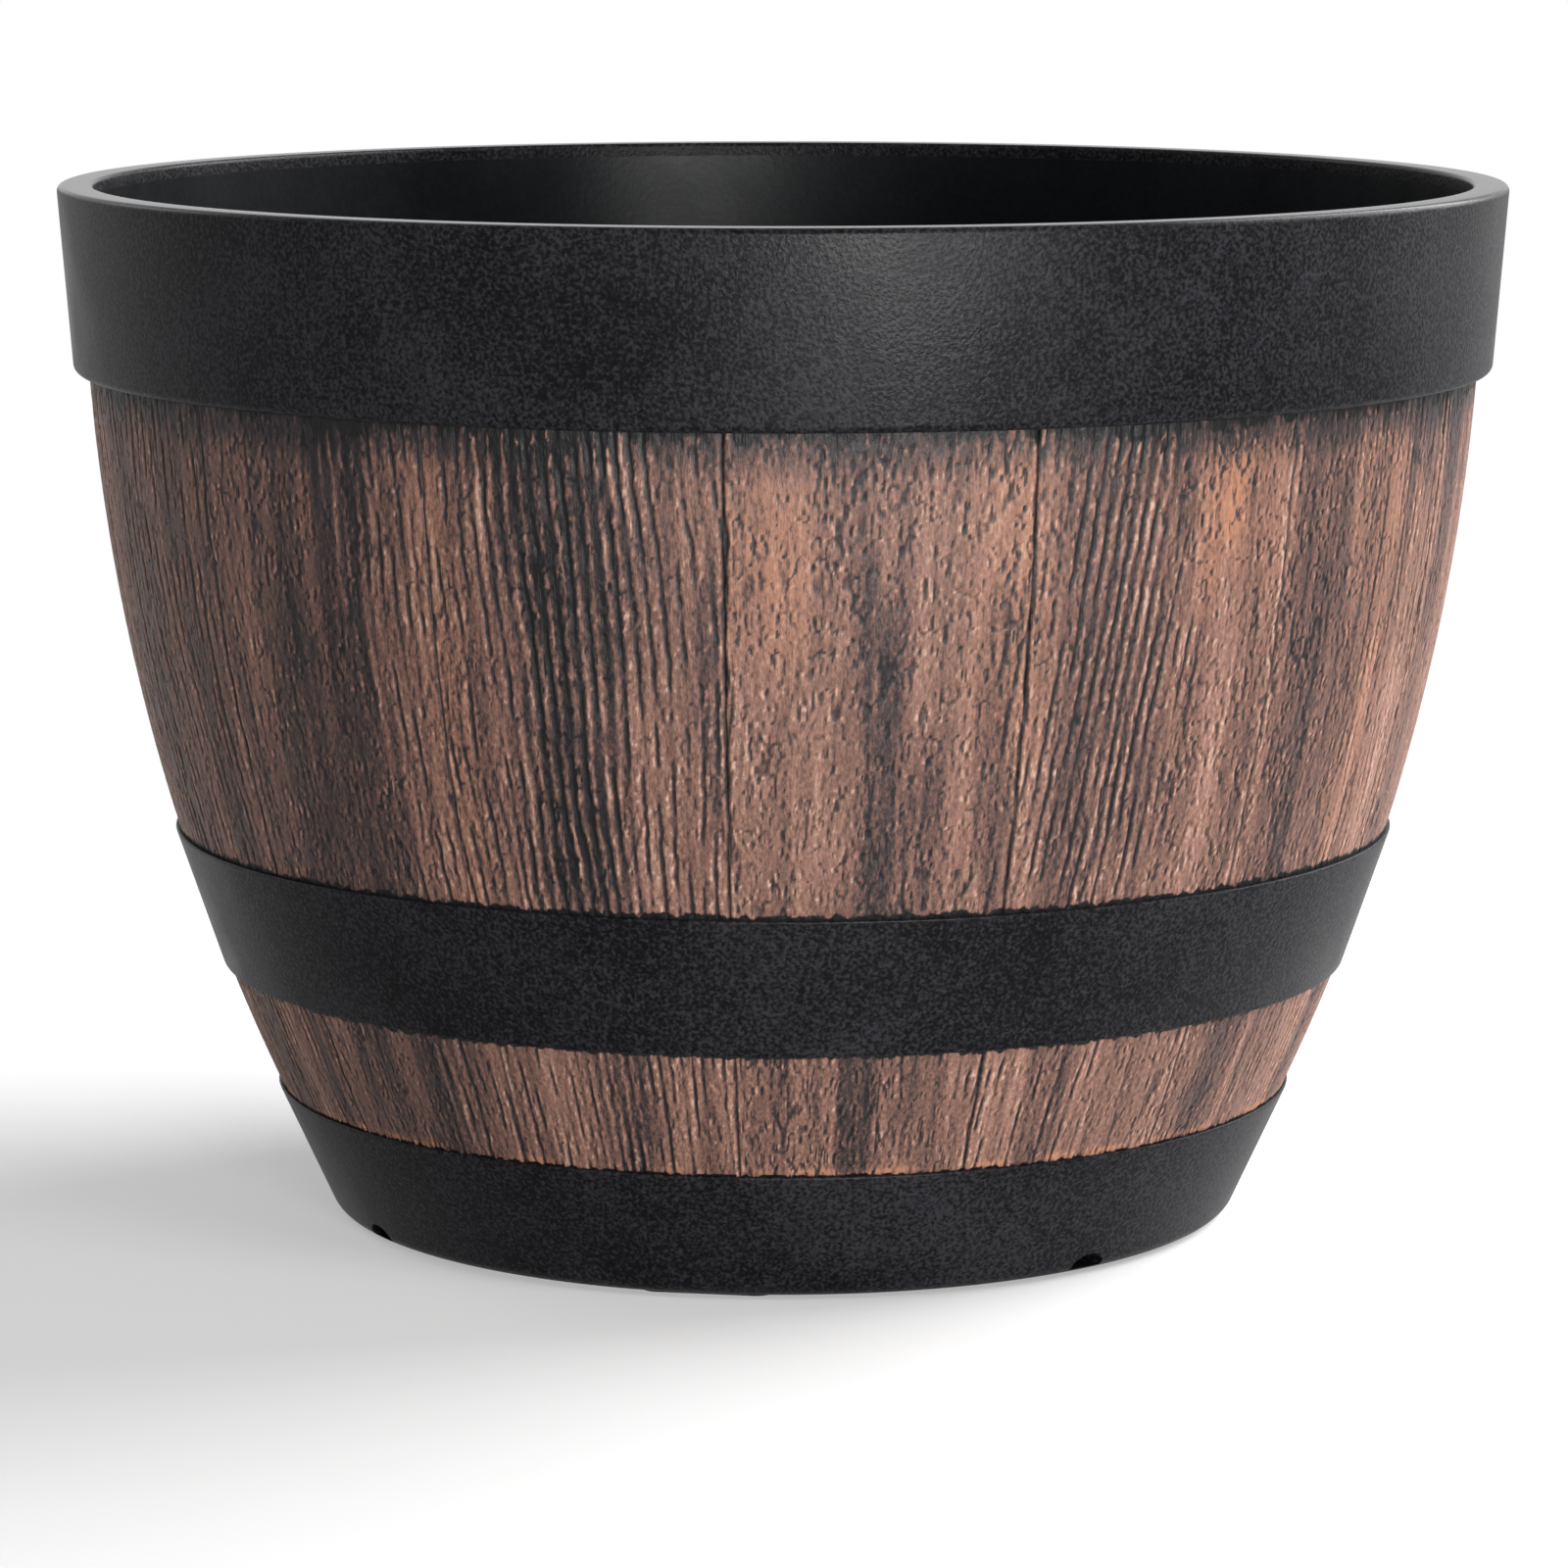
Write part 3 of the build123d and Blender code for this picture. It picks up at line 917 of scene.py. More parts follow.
    def cracked(self, across: Array, up: Array, width: float, length: float, seed: int) -> Array:
        """Short wobbling cracks along the grain: places where a stretched noise crosses zero.

        Args:
            across: Distances round the pot.
            up: Heights of the places.
            width: Usual distance between cracks.
            length: Usual length of a crack.
            seed: Chooses another set of cracks.

        Returns:
            Numbers from 0, outside the cracks, to 1, at their deepest.
        """
        bent = across + 0.36 * layered_noise(across / 3.1, up / 3.4, seed + 1, 2)
        line = 1 - smoothstep(0.02, 0.34, np.abs(noise(bent / width, up / length, seed)))
        gate = smoothstep(-0.15, 0.35, noise(across / (1.6 * width), up / (0.6 * length), seed + 3))
        return line * gate

    def pitted(
        self,
        across: Array,
        up: Array,
        cell: tuple[float, float],
        size: tuple[float, float],
        share: float,
        seed: int,
    ) -> Array:
        """Depth of scattered pits: one leaning oval in some cells of a grid, with steep sides.

        Args:
            across: Distances round the pot.
            up: Heights of the places.
            cell: Width and height of a cell.
            size: Half width and half length of an average pit.
            share: Share of the cells that hold a pit.
            seed: Chooses another set of pits.

        Returns:
            Numbers from 0, outside the pits, to 1, at their deepest.
        """
        x, y = across / cell[0], up / cell[1]
        deepest = np.zeros(x.shape)
        for di, dj in itertools.product((-1, 0, 1), repeat=2):
            ci, cj = np.floor(x) + di, np.floor(y) + dj
            chance = [scatter(ci, cj, seed + k) for k in range(7)]
            dx = (x - ci - 0.15 - 0.7 * chance[1]) * cell[0]
            dy = (y - cj - 0.15 - 0.7 * chance[2]) * cell[1]
            tilt = 0.36 * (chance[3] - 0.5)
            half_width = size[0] * (0.6 + 0.8 * chance[4])
            half_length = size[1] * (0.5 + 1.1 * chance[5])
            away = np.hypot((dx + tilt * dy) / half_width, dy / half_length)
            depth = (0.55 + 0.45 * chance[6]) * (1 - smoothstep(0.55, 1.15, away))
            deepest = np.maximum(deepest, np.where(chance[0] < share, depth, 0.0))
        return deepest

    def relief(self, turn: Array, height: Array) -> tuple[Array, Array]:
        """Moulded relief of the staves, from the wall's face inward.

        Args:
            turn: Turns of the places.
            height: Heights of the places.

        Returns:
            Depths in millimetres, and the height of the grain's crests from 0 to 1.
        """
        across = np.radians(turn) * self.form.reference_radius
        cover, lean = self.field_cover(across, height, turn)
        groove, crest = self.grooved(across, height, lean)
        broad = 0.5 + 0.5 * self.pattern("broad relief", across, height)
        wobbled = across + self.pattern("pit wobble", across, height)
        pits = self.pitted(wobbled, height, (1.7, 3.4), (0.34, 1.1), 0.55, self.seed + 60)
        fine = self.cracked(across, height, 1.05, 3.6, self.seed + 64)
        coarse = self.cracked(across, height, 2.0, 9.0, self.seed + 68)
        flat = np.maximum(0.40 * pits * (0.4 + 0.8 * broad), np.maximum(0.28 * fine, 0.36 * coarse * broad))
        run = np.maximum(self.groove_depth * groove, np.maximum(0.22 * fine, 0.26 * pits * broad))
        skin = self.pattern("rough skin", across, height) + self.pattern("long skin", across, height)
        depth = cover * run + (1 - cover) * flat + 0.05 * broad + skin
        joint = self.joint_depth(turn, height)
        return np.clip(np.maximum(depth, joint + 0.4 * depth), 0.0, self.deepest), cover * crest

    def strokes(
        self, rows: Sequence[tuple[float, ...]], turn: Array, height: Array, ragged: Array
    ) -> Array:
        """Cover of several strokes together: one minus the product of what each leaves bare.

        Args:
            rows: A row of numbers for each stroke.
            turn: Turns of the places.
            height: Heights of the places.
            ragged: Numbers of -1 to 1 that make the strokes' sides uneven.

        Returns:
            Numbers up to 1.
        """
        bare = np.ones(turn.shape)
        for row in rows:
            bare = bare * (1 - Brushmark(*row).cover(turn, height, ragged))
        return 1 - bare

    def back_strokes(self, seed: int, count: int, strength: float) -> tuple[tuple[float, ...], ...]:
        """Strokes for the sides and back that the front tables don't reach, at seeded places.

        Args:
            seed: Chooses the places.
            count: Number of strokes.
            strength: The strongest stroke's strength.

        Returns:
            Rows like the front tables' rows.
        """
        places = np.random.default_rng(seed).random((count, 4))
        turns = 80.0 + 200.0 * (np.arange(count) + 0.15 + 0.7 * places[:, 0]) / count
        width, low, high = places[:, 1], 20.0 + 90.0 * places[:, 2] ** 3, 190.0 - 70.0 * places[:, 3] ** 3
        rows = np.stack([turns, 1.4 + 3.4 * width, low, high, strength * (0.45 + 0.55 * width)], axis=1)
        return tuple(map(tuple, rows.tolist()))

    def paint_marks(self, turn: Array, height: Array, depth: Array, crest: Array) -> dict[str, Array]:
        """Where the brown paint lies, how light it is and how warm; the lightness also holds painted shade,
        painted light and painted highlights.

        Args:
            turn: Turns of the places.
            height: Heights of the places.
            depth: The relief's depth there.
            crest: The height of the grain's crests there.

        Returns:
            The marks paint, tone and warm.
        """
        form = self.form
        across = np.radians(turn) * form.reference_radius
        ragged, streak, broad, thread, frayed, slow = (
            self.pattern(name, across, height)
            for name in ("ragged", "streak", "broad tone", "thread", "frayed", "slow fray")
        )
        # dark holds darker paint strokes, painted shade on the pot's left side and painted light on its right
        # side.
        dark = self.strokes(DARK_STROKES_AND_PAINTED_SIDE_LIGHT + self.back_strokes(*self.back_dark), turn, height, ragged)
        warm = self.strokes(WARM_STROKES + self.back_strokes(*self.back_warm), turn, height, ragged)
        reach = self.edge_reach
        padded = np.pad(depth, ((0, 0), (reach, reach)), mode="edge")
        nearby = [padded[:, k : k + depth.shape[1]] for k in range(2 * reach + 1) if k != reach]
        # Painted shade in the hollows and painted light on raised places: the tone darkens with the relief's
        # depth and lightens where a place stands above its neighbours. This is partly painted light and
        # shade, and partly the thinner paint in hollows and the paint caught on raised edges.
        edge = sum(nearby) / len(nearby) - depth
        hollow_shade_and_thin_paint = smoothstep(0.08, 0.42, depth)
        tone = 0.555 + 0.21 * streak + 0.10 * broad + 0.09 * thread - 0.60 * dark - 0.28 * hollow_shade_and_thin_paint
        tone = tone + 1.2 * edge
        # spark adds painted highlights: light specks of tone on raised edges that stand for glints.
        spark = smoothstep(0.25, 0.8, noise(across / 0.5, height / 0.9, self.seed + 97))
        lines = crest * smoothstep(0.25, 0.6, dark)
        tone = tone + 0.66 * lines + 0.34 * spark * smoothstep(0.02, 0.12, edge)
        # Painted shade under the rim's skirt: over the last 11 mm below the skirt the tone darkens, and less
        # paint lies there.
        skirt_shade = smoothstep(form.skirt_low - 11.0, form.skirt_low - 1.0, height + 3.0 * streak)
        tone = tone - 0.30 * skirt_shade * (1 - lines)
        under_rim = smoothstep(form.skirt_low + 0.6, form.skirt_low - 3.2, height + 3.0 * frayed + 1.6 * slow)
        over_hoop = smoothstep(form.hoop_high + 0.3, form.hoop_high + 1.5, height + 1.0 * frayed)
        under_hoop = smoothstep(form.hoop_low - 0.1, form.hoop_low - 1.0, height + 0.8 * frayed)
        over_foot = smoothstep(form.foot_high + 0.1, form.foot_high + 0.5, height + 0.5 * frayed)
        shown = np.where(height > form.hoop_high - 2, under_rim * over_hoop, under_hoop * over_foot)
        lip = np.exp(-(((height - (form.foot_high + 0.9)) / 0.9) ** 2))
        lip = lip * smoothstep(-0.35, 0.4, slow + 0.4 * frayed)
        limit = 0.62 - 0.58 * dark - 0.20 * skirt_shade
        paint = smoothstep(0.12, -0.12, depth - limit + 0.06 * frayed) * shown
        return {
            "paint": np.maximum(paint, lines * shown**0.3),
            "tone": np.clip(tone + 0.14 * lip, 0.0, 1.0),
            "warm": np.clip(warm + 0.9 * lip, 0.0, 1.0),
        }

    def stave(self, number: int) -> tuple[Surface, dict[str, Array]]:
        """One stave: a relief grid outside, a plain grid behind it, and strips that close its edges.

        A place is (r sin t, -r cos t, z), with r the bowed wall's radius moved inward by the relief.

        Args:
            number: The stave's number, counted from the joint beside the front.

        Returns:
            Its surface, and the marks for its points.
        """
        spacing = 360.0 / self.stave_count
        start = self.first_joint + number * spacing
        heights = self.rows()
        turn, height = np.meshgrid(start + np.linspace(0.0, spacing, self.columns), heights)
        back_turn, back_height = np.meshgrid(start + np.linspace(0.0, spacing, self.back_columns), heights)
        depth, crest = self.relief(turn, height)
        marks = self.paint_marks(turn, height, depth, crest)
        points = [self.place(turn, height, -depth), self.place(back_turn, back_height, self.back_offset)]
        rows, wide, narrow = len(heights), self.columns, self.back_columns
        behind = rows * wide
        front_faces = grid_quads(rows, wide, False, False)
        back_faces = grid_quads(rows, narrow, False, False)[:, ::-1] + behind
        row = np.arange(rows - 1)
        left = [row * wide, (row + 1) * wide, behind + (row + 1) * narrow, behind + row * narrow]
        left = np.stack(left, axis=1)
        right = (left + np.array([wide - 1, wide - 1, narrow - 1, narrow - 1]))[:, ::-1]
        end = rows * (wide + narrow)
        foot = [*range(behind, behind + narrow), *range(wide - 1, -1, -1)]
        top = [*range(behind - wide, behind), *range(end - 1, end - narrow - 1, -1)]
        quads = np.concatenate([front_faces, back_faces, left, right])
        tall = heights[-1] - heights[0]
        plans = [
            np.stack([low + span * across / spacing, 0.01 + 0.98 * ((up - heights[0]) / tall)], axis=-1)
            for low, span, across, up in (
                (0.01, 0.90, turn - start, height),
                (0.93, 0.06, start + spacing - back_turn, back_height),
            )
        ]
        placed = np.concatenate([part.reshape(-1, 3) for part in points])
        plan = np.concatenate([part.reshape(-1, 2) for part in plans])
        spare = np.zeros(rows * narrow)
        padded = {name: np.concatenate([values.ravel(), spare]) for name, values in marks.items()}
        return Surface(placed, quads.tolist() + [foot, top], plan).outward(), padded

    def place(self, turn: Array, height: Array, offset: Array | float) -> Array:
        """Points of the bowed wall at turns and heights, moved outward by an offset."""
        return round_axis(self.form.radius(height, offset), np.radians(turn), height)

    def lining(self) -> Surface:
        """Smooth ring behind the staves, which is the wall's black inner face.

        Returns:
            The closed ring.
        """
        low, high = self.form.wall_low, self.form.wall_high
        outer = self.form.wall_line(low, high, self.lining_offset)
        inner = self.form.wall_line(low, high, self.inner_offset)
        return revolved(rounded([*outer, *inner[::-1]]))

    def build(self) -> None:
        """Makes the staves and the lining."""
        for number in range(self.stave_count):
            surface, marks = self.stave(number)
            name = f"stave_{number + 1:02d}"
            add_piece(name, surface, self.finishes.wood, "barrel_wall", sharp_bend=180.0, marks=marks)
        add_piece("wall_lining", self.lining(), self.finishes.inside, "barrel_wall")


@dataclass(frozen=True)
class Strap:
    """A strap's outer line and what its lapped end and rivets need."""

    foot: tuple[float, float]
    head: tuple[float, float]
    lap_low: float
    lap_high: float
    rivet_height: float
    lap_turn: float = 128.0
    lap_arc: float = 26.0
    lap_rise: float = 1.0
    lap_bury: float = 0.25
    sole_depth: float = 0.05
    end_roundness: float = 0.42
    edge_round: float = 0.5
    rivet_distances: tuple[float, float] = (8.0, 20.0)
    rivet_seat: float = 0.15
    head_radius: float = 3.4
    head_height: float = 1.5
    shank_radius: float = 1.5
    shank_length: float = 1.2
    collar_depth: float = 0.12
    collar_inset: float = 0.15

    def radius(self, height: Array | float) -> Array:
        """Radius of the strap's straight outer line at a height."""
        (r0, z0), (r1, z1) = self.foot, self.head
        return r0 + (r1 - r0) * (np.asarray(height) - z0) / (z1 - z0)

    def normal(self) -> tuple[float, float]:
        """Outward unit normal of the outer line, as (radius, height)."""
        (r0, z0), (r1, z1) = self.foot, self.head
        length = math.hypot(r1 - r0, z1 - z0)
        return (z1 - z0) / length, (r0 - r1) / length

    def rise(self, angle: Array | float) -> Array:
        """Rise of the lap's face: its height less shift (1 - cos angle), which is 0 where it runs out."""
        shift = self.lap_rise / (1 - math.cos(math.radians(self.lap_arc)))
        return self.lap_rise - shift * (1 - np.cos(np.radians(angle)))

    def lap(self) -> Surface:
        """The lapped end: sections across the strap, narrowed by a quarter circle at the free end.

        Each section runs up one side, over an edge of radius e, across, and down the other side. Near the
        free end, at a distance d from it, the half width is what a corner circle of radius c leaves:
        W - c + root(c^2 - (c - d)^2), and the edge's own circle lowers the face in the same way.

        Returns:
            The closed plate.
        """
        middle, half = (self.lap_low + self.lap_high) / 2, (self.lap_high - self.lap_low) / 2
        corner, edge = self.end_roundness * 2 * half, self.edge_round
        reach = float(self.radius(middle)) * math.radians(self.lap_arc)
        end = corner * (1 - np.cos(np.linspace(0.0, np.pi / 2, 28)))
        eased = np.concatenate([end, np.linspace(corner, reach, 60)[1:]])
        short = np.clip(corner - eased, 0.0, None)
        width = half - corner + np.sqrt(corner**2 - short**2)
        lowered = edge - np.sqrt(edge**2 - np.clip(edge - eased, 0.0, None) ** 2)
        angle = np.degrees(eased / float(self.radius(middle)))
        top = self.rise(angle) - lowered
        bend = np.linspace(0.0, np.pi / 2, 6)
        side_across = np.concatenate([[0.0], edge * (1 - np.cos(bend))])
        side_down = np.concatenate([[1e3], edge * (1 - np.sin(bend))])
        inward = np.linspace(0.0, 1.0, 8)[1:-1]
        from_edge = np.concatenate([side_across, edge + 0 * inward, side_across[::-1]])
        side = np.concatenate([-np.ones(7), -1 + 2 * inward, np.ones(7)])
        down = np.concatenate([side_down, 0 * inward, side_down[::-1]])
        across = side * (width[:, None] - from_edge)
        over = np.maximum(top[:, None] - down, -self.lap_bury)
        over[:, [0, -1]] -= self.sole_depth
        normal_r, normal_z = self.normal()
        height = middle + across
        radius = self.radius(height) + over * normal_r
        turn = np.radians(self.lap_turn + angle)[:, None]
        return lofted(round_axis(radius, turn, height + over * normal_z))

    def rivets(self) -> list[Surface]:
        """The lap's two domed rivets, each a turned solid set on its seat.

        The dome is a quarter ellipse from the crown to the rim.

        Returns:
            The closed solids.
        """
        bend = np.linspace(0.0, np.pi / 2, 14)
        dome = np.stack([self.head_radius * np.sin(bend) ** 0.92, self.head_height * np.cos(bend)], axis=1)
        collar, stem_radius, stem_end = -self.collar_depth, self.shank_radius, -self.shank_length
        seat = [(self.head_radius - self.collar_inset, collar), (stem_radius, collar)]
        head = turned_solid(np.concatenate([dome, seat, [(stem_radius, stem_end), (0.0, stem_end)]]), 64)
        normal_r, normal_z = self.normal()
        radius = float(self.radius(self.rivet_height))
        found = []
        for distance in self.rivet_distances:
            angle = math.degrees(distance / radius)
            ahead, sideways = pointers(self.lap_turn + angle)
            up = np.array([0.0, 0.0, 1.0])
            lift = float(self.rise(angle)) - self.rivet_seat
            outward = ahead * normal_r + up * normal_z
            origin = (radius + lift * normal_r) * ahead + (self.rivet_height + lift * normal_z) * up
            found.append(head.moved(origin, sideways, np.cross(outward, sideways), outward))
        return found

    def add_lap(self, name: str, node: str, finishes: Finishes) -> None:
        """Makes the lap, which belongs to the strap's node, and its rivets, which have their own.

        Args:
            name: The start of the rivets' names.
            node: The strap's node.
            finishes: The pot's finishes.
        """
        add_piece(f"{node}_lap", self.lap(), finishes.band, node)
        for number, surface in enumerate(self.rivets(), 1):
            add_piece(f"{name}_rivet_{number}", surface, finishes.rivet, f"{name}_rivets")


@dataclass
class RimBand:
    """The lip that caps the wall, with the deep skirt that hangs outside it."""

    form: PotForm
    finishes: Finishes
    outer_radius: float = 152.9
    skirt_radius: float = 149.9
    skirt_thick: float = 2.4
    lip_inner_radius: float = 145.3
    lip_low: float = 217.0
    outer_round: float = 1.3
    inner_round: float = 1.0
    skirt_round: float = 1.7
    hidden_round: float = 0.3

    def surface(self) -> Surface:
        """The band's section turned about the axis.

        Returns:
            The closed ring.
        """
        form, low = self.form, self.form.skirt_low
        slope = (self.outer_radius - self.skirt_radius) / (form.height - low)
        inside_top = self.outer_radius - slope * (form.height - self.lip_low) - self.skirt_thick
        corners = [
            (self.lip_inner_radius, self.lip_low, 0.0),
            (self.lip_inner_radius, form.height, self.inner_round),
            (self.outer_radius, form.height, self.outer_round),
            (self.skirt_radius, low, self.skirt_round),
            (self.skirt_radius - self.skirt_thick, low, self.hidden_round),
            (inside_top, self.lip_low, self.hidden_round),
        ]
        return revolved(rounded(corners, 8))

    def build(self) -> None:
        """Makes the rim band."""
        add_piece("rim_band_moulded", self.surface(), self.finishes.band, "rim_band")


@dataclass
class MiddleHoop:
    """The flat strap round the wall, with its lap and two rivets."""

    form: PotForm
    finishes: Finishes
    proud: float = 1.0
    inset: float = 1.1
    edge_round: float = 0.4
    lap_margin: float = 1.6

    def strap(self) -> Strap:
        """The hoop's outer line, from the wall's radius at its two edges.

        Returns:
            The strap.
        """
        form = self.form
        low, high = form.hoop_low, form.hoop_high
        return Strap(
            (float(form.radius(low)) + self.proud, low),
            (float(form.radius(high)) + self.proud, high),
            low + self.lap_margin,
            high - self.lap_margin,
            (low + high) / 2,
        )

    def build(self) -> None:
        """Makes the hoop, its lap and its rivets."""
        strap, form = self.strap(), self.form
        inside = form.wall_line(form.hoop_low, form.hoop_high, -self.inset, 8)
        outline = rounded([*inside, (*strap.head, self.edge_round), (*strap.foot, self.edge_round)])
        add_piece("middle_hoop_strap", revolved(outline), self.finishes.band, "middle_hoop")
        strap.add_lap("hoop", "middle_hoop", self.finishes)


@dataclass
class FootBand:
    """The foot's strap with its inner ledge, lap and rivets, the four pads and the drain arches."""

    form: PotForm
    finishes: Finishes
    proud: float = 0.9
    inset: float = 1.1
    toe_in: float = 2.1
    pad_height: float = 0.8
    corner_round: float = 4.3
    edge_round: float = 0.4
    ledge_width: float = 14.2
    lap_margin: float = 1.6
    pad_turns: tuple[float, ...] = (-10.0, 80.0, 170.0, 260.0)
    pad_arc: float = 13.0
    pad_margin: float = 1.0
    pad_round: float = 0.3
    pad_overlap: float = 0.05
    arch_turns: tuple[float, ...] = (-60.0, 40.0, 120.0, 220.0)
    arch_width: float = 8.6
    arch_height: float = 3.2
    arch_sill: float = 0.8
    arch_reach: float = 8.0

    def strap(self) -> Strap:
        """The foot band's outer line, from the wall's radius at its two edges.

        Returns:
            The strap.
        """
        form = self.form
        return Strap(
            (form.wall_foot_radius - self.toe_in, 0.0),
            (float(form.radius(form.foot_high)) + self.proud, form.foot_high),
            form.wall_low,
            form.foot_high - self.lap_margin,
            (form.wall_low + form.foot_high - self.lap_margin) / 2,
        )

    def ring(self) -> Surface:
        """The band's section turned about the axis, before its arches are cut.

        Returns:
            The closed ring.
        """
        form, strap, low = self.form, self.strap(), self.pad_height
        ledge = form.wall_foot_radius - self.ledge_width
        corners = [
            (ledge, low, self.edge_round),
            (ledge, form.wall_low, self.edge_round),
            *form.wall_line(form.wall_low, form.foot_high, -self.inset, 6),
            (*strap.head, self.edge_round),
            (float(strap.radius(low)), low, self.corner_round),
        ]
        return revolved(rounded(corners, 10))

    def arch_cutter(self, turn: float) -> Surface:
        """Long prism with an arched section, which cuts one drain arch through the band.

        The arch is a half ellipse over a flat sill. It has no point at its crown, because one there would
        fall on an edge of the ring and leave faces without area.

        Args:
            turn: The arch's turn.

        Returns:
            The closed prism.
        """
        form = self.form
        bend = np.linspace(0.0, np.pi, 26)
        across = -self.arch_width / 2 * np.cos(bend)
        up = self.pad_height + self.arch_sill + self.arch_height * np.sin(bend) ** 0.8
        near = form.wall_foot_radius - self.ledge_width - self.arch_reach
        far = form.wall_foot_radius + self.arch_reach
        outward, sideways = pointers(turn)
        flat = across[:, None] * sideways + np.stack([0 * up, 0 * up, up], axis=1)
        return lofted(np.stack([flat + near * outward, flat + far * outward]))

    def pad(self, turn: float) -> Surface:
        """One low pad: a rounded slot bent round the axis, with a soft lower edge.

        Args:
            turn: The turn of its middle.

        Returns:
            The closed pad.
        """
        form = self.form
        inner = form.wall_foot_radius - self.ledge_width + self.pad_margin
        outer = float(self.strap().radius(self.pad_height)) - self.corner_round * 0.7 - self.pad_margin
        middle, half = (inner + outer) / 2, (outer - inner) / 2
        around, shift = slot_outline(middle * math.radians(self.pad_arc) / 2, 17)
        soft, top = self.pad_round, self.pad_height + self.pad_overlap
        sections = []
        for inset, height in ((soft, 0.0), (soft * 0.3, soft * 0.3), (0.0, soft), (0.0, top)):
            along, out = shift + (half - inset) * around[:, 0], middle + (half - inset) * around[:, 1]
            sections.append(round_axis(out, np.radians(turn) + along / middle, height))
        return lofted(np.stack(sections))

    def build(self) -> None:
        """Makes the band, cuts its arches, and adds the pads, the lap and its rivets."""
        band = self.finishes.band
        moulded = add_piece("foot_band_moulded", self.ring(), band, "foot_band")
        cut_from(moulded, joined([self.arch_cutter(turn) for turn in self.arch_turns]))
        for number, turn in enumerate(self.pad_turns, 1):
            add_piece(f"foot_pad_{number}", self.pad(turn), band, "foot_band")
        self.strap().add_lap("foot", "foot_band", self.finishes)


def cut_from(piece: bpy.types.Object, cutter: Surface) -> None:
    """Takes a closed surface's space out of a piece, and keeps the result as the piece's mesh.

    Args:
        piece: The piece to cut.
        cutter: The space to take out, in millimetres.
    """
    mesh = bpy.data.meshes.new("cutter")
    mesh.from_pydata((cutter.points * METRES).tolist(), [], cutter.faces)
    tool = bpy.data.objects.new("cutter", mesh)
    bpy.context.scene.collection.objects.link(tool)
    cut = piece.modifiers.new("arches", "BOOLEAN")
    cut.operation, cut.solver, cut.object = "DIFFERENCE", "EXACT", tool
    bpy.context.view_layer.update()
    ready = piece.evaluated_get(bpy.context.evaluated_depsgraph_get())
    result = bpy.data.meshes.new_from_object(ready)
    piece.modifiers.clear()
    piece.data = result
    result.set_sharp_from_angle(angle=math.radians(SHARP_BEND))
    bpy.data.objects.remove(tool)
    bpy.data.meshes.remove(mesh)


@dataclass
class RaisedFloor:
    """The floor that falls to the drain hole, with a boss round the hole and ribs underneath."""

    form: PotForm
    finishes: Finishes
    ledge_height: float = 8.0
    thick: float = 2.0
    fall: float = 1.5
    fit: float = 0.2
    wall_thick: float = 2.4
    drain_radius: float = 10.0
    boss_wall: float = 5.0
    seat_width: float = 6.0
    rib_low: float = 5.0
    rib_count: int = 8
    rib_thick: float = 2.0
    rib_round: float = 0.4
    rib_overlap: float = 0.5
    rib_end_radius: float = 82.0
    first_rib: float = -10.0

    def disc(self) -> Surface:
        """The floor's section turned about the axis.

        Returns:
            The closed ring.
        """
        ledge, boss = self.ledge_height, self.drain_radius + self.boss_wall
        top = ledge + self.thick
        heights = ledge, top + self.fall
        foot, head = (float(self.form.radius(at, -self.wall_thick)) - self.fit for at in heights)
        outline = [
            (self.drain_radius, self.rib_low, 0.3),
            (boss, self.rib_low, 0.5),
            (boss, ledge, 0.5),
            (foot, ledge, 0.0),
            (head, top + self.fall, 0.3),
            (self.drain_radius + self.seat_width, top, 3.0),
            (self.drain_radius, top, 0.3),
        ]
        return revolved(rounded(outline), 240)

    def rib(self, number: int) -> Surface:
        """One rib: a bar along a radius, with its lower edges rounded.

        Args:
            number: The rib's number.

        Returns:
            The closed bar.
        """
        half, ease, near_low = self.rib_thick / 2, self.rib_round, 0.3 * self.rib_round
        top = self.ledge_height + self.rib_overlap
        side = [(half, top), (half, self.rib_low + ease), (half - near_low, self.rib_low + near_low)]
        side = np.array([*side, (half - ease, self.rib_low)])
        section = np.concatenate([side * (-1, 1), side[::-1]])
        outward, sideways = pointers(self.first_rib + number * 360.0 / self.rib_count)
        flat = section[:, :1] * sideways + section[:, 1:] * np.array([0.0, 0.0, 1.0])
        near = self.drain_radius + self.boss_wall / 2
        return lofted(np.stack([flat + near * outward, flat + self.rib_end_radius * outward]))

    def build(self) -> None:
        """Makes the floor with its ribs."""
        shells = [self.disc(), *(self.rib(number) for number in range(self.rib_count))]
        add_piece("floor_plate", joined(shells), self.finishes.floor, "base_floor")


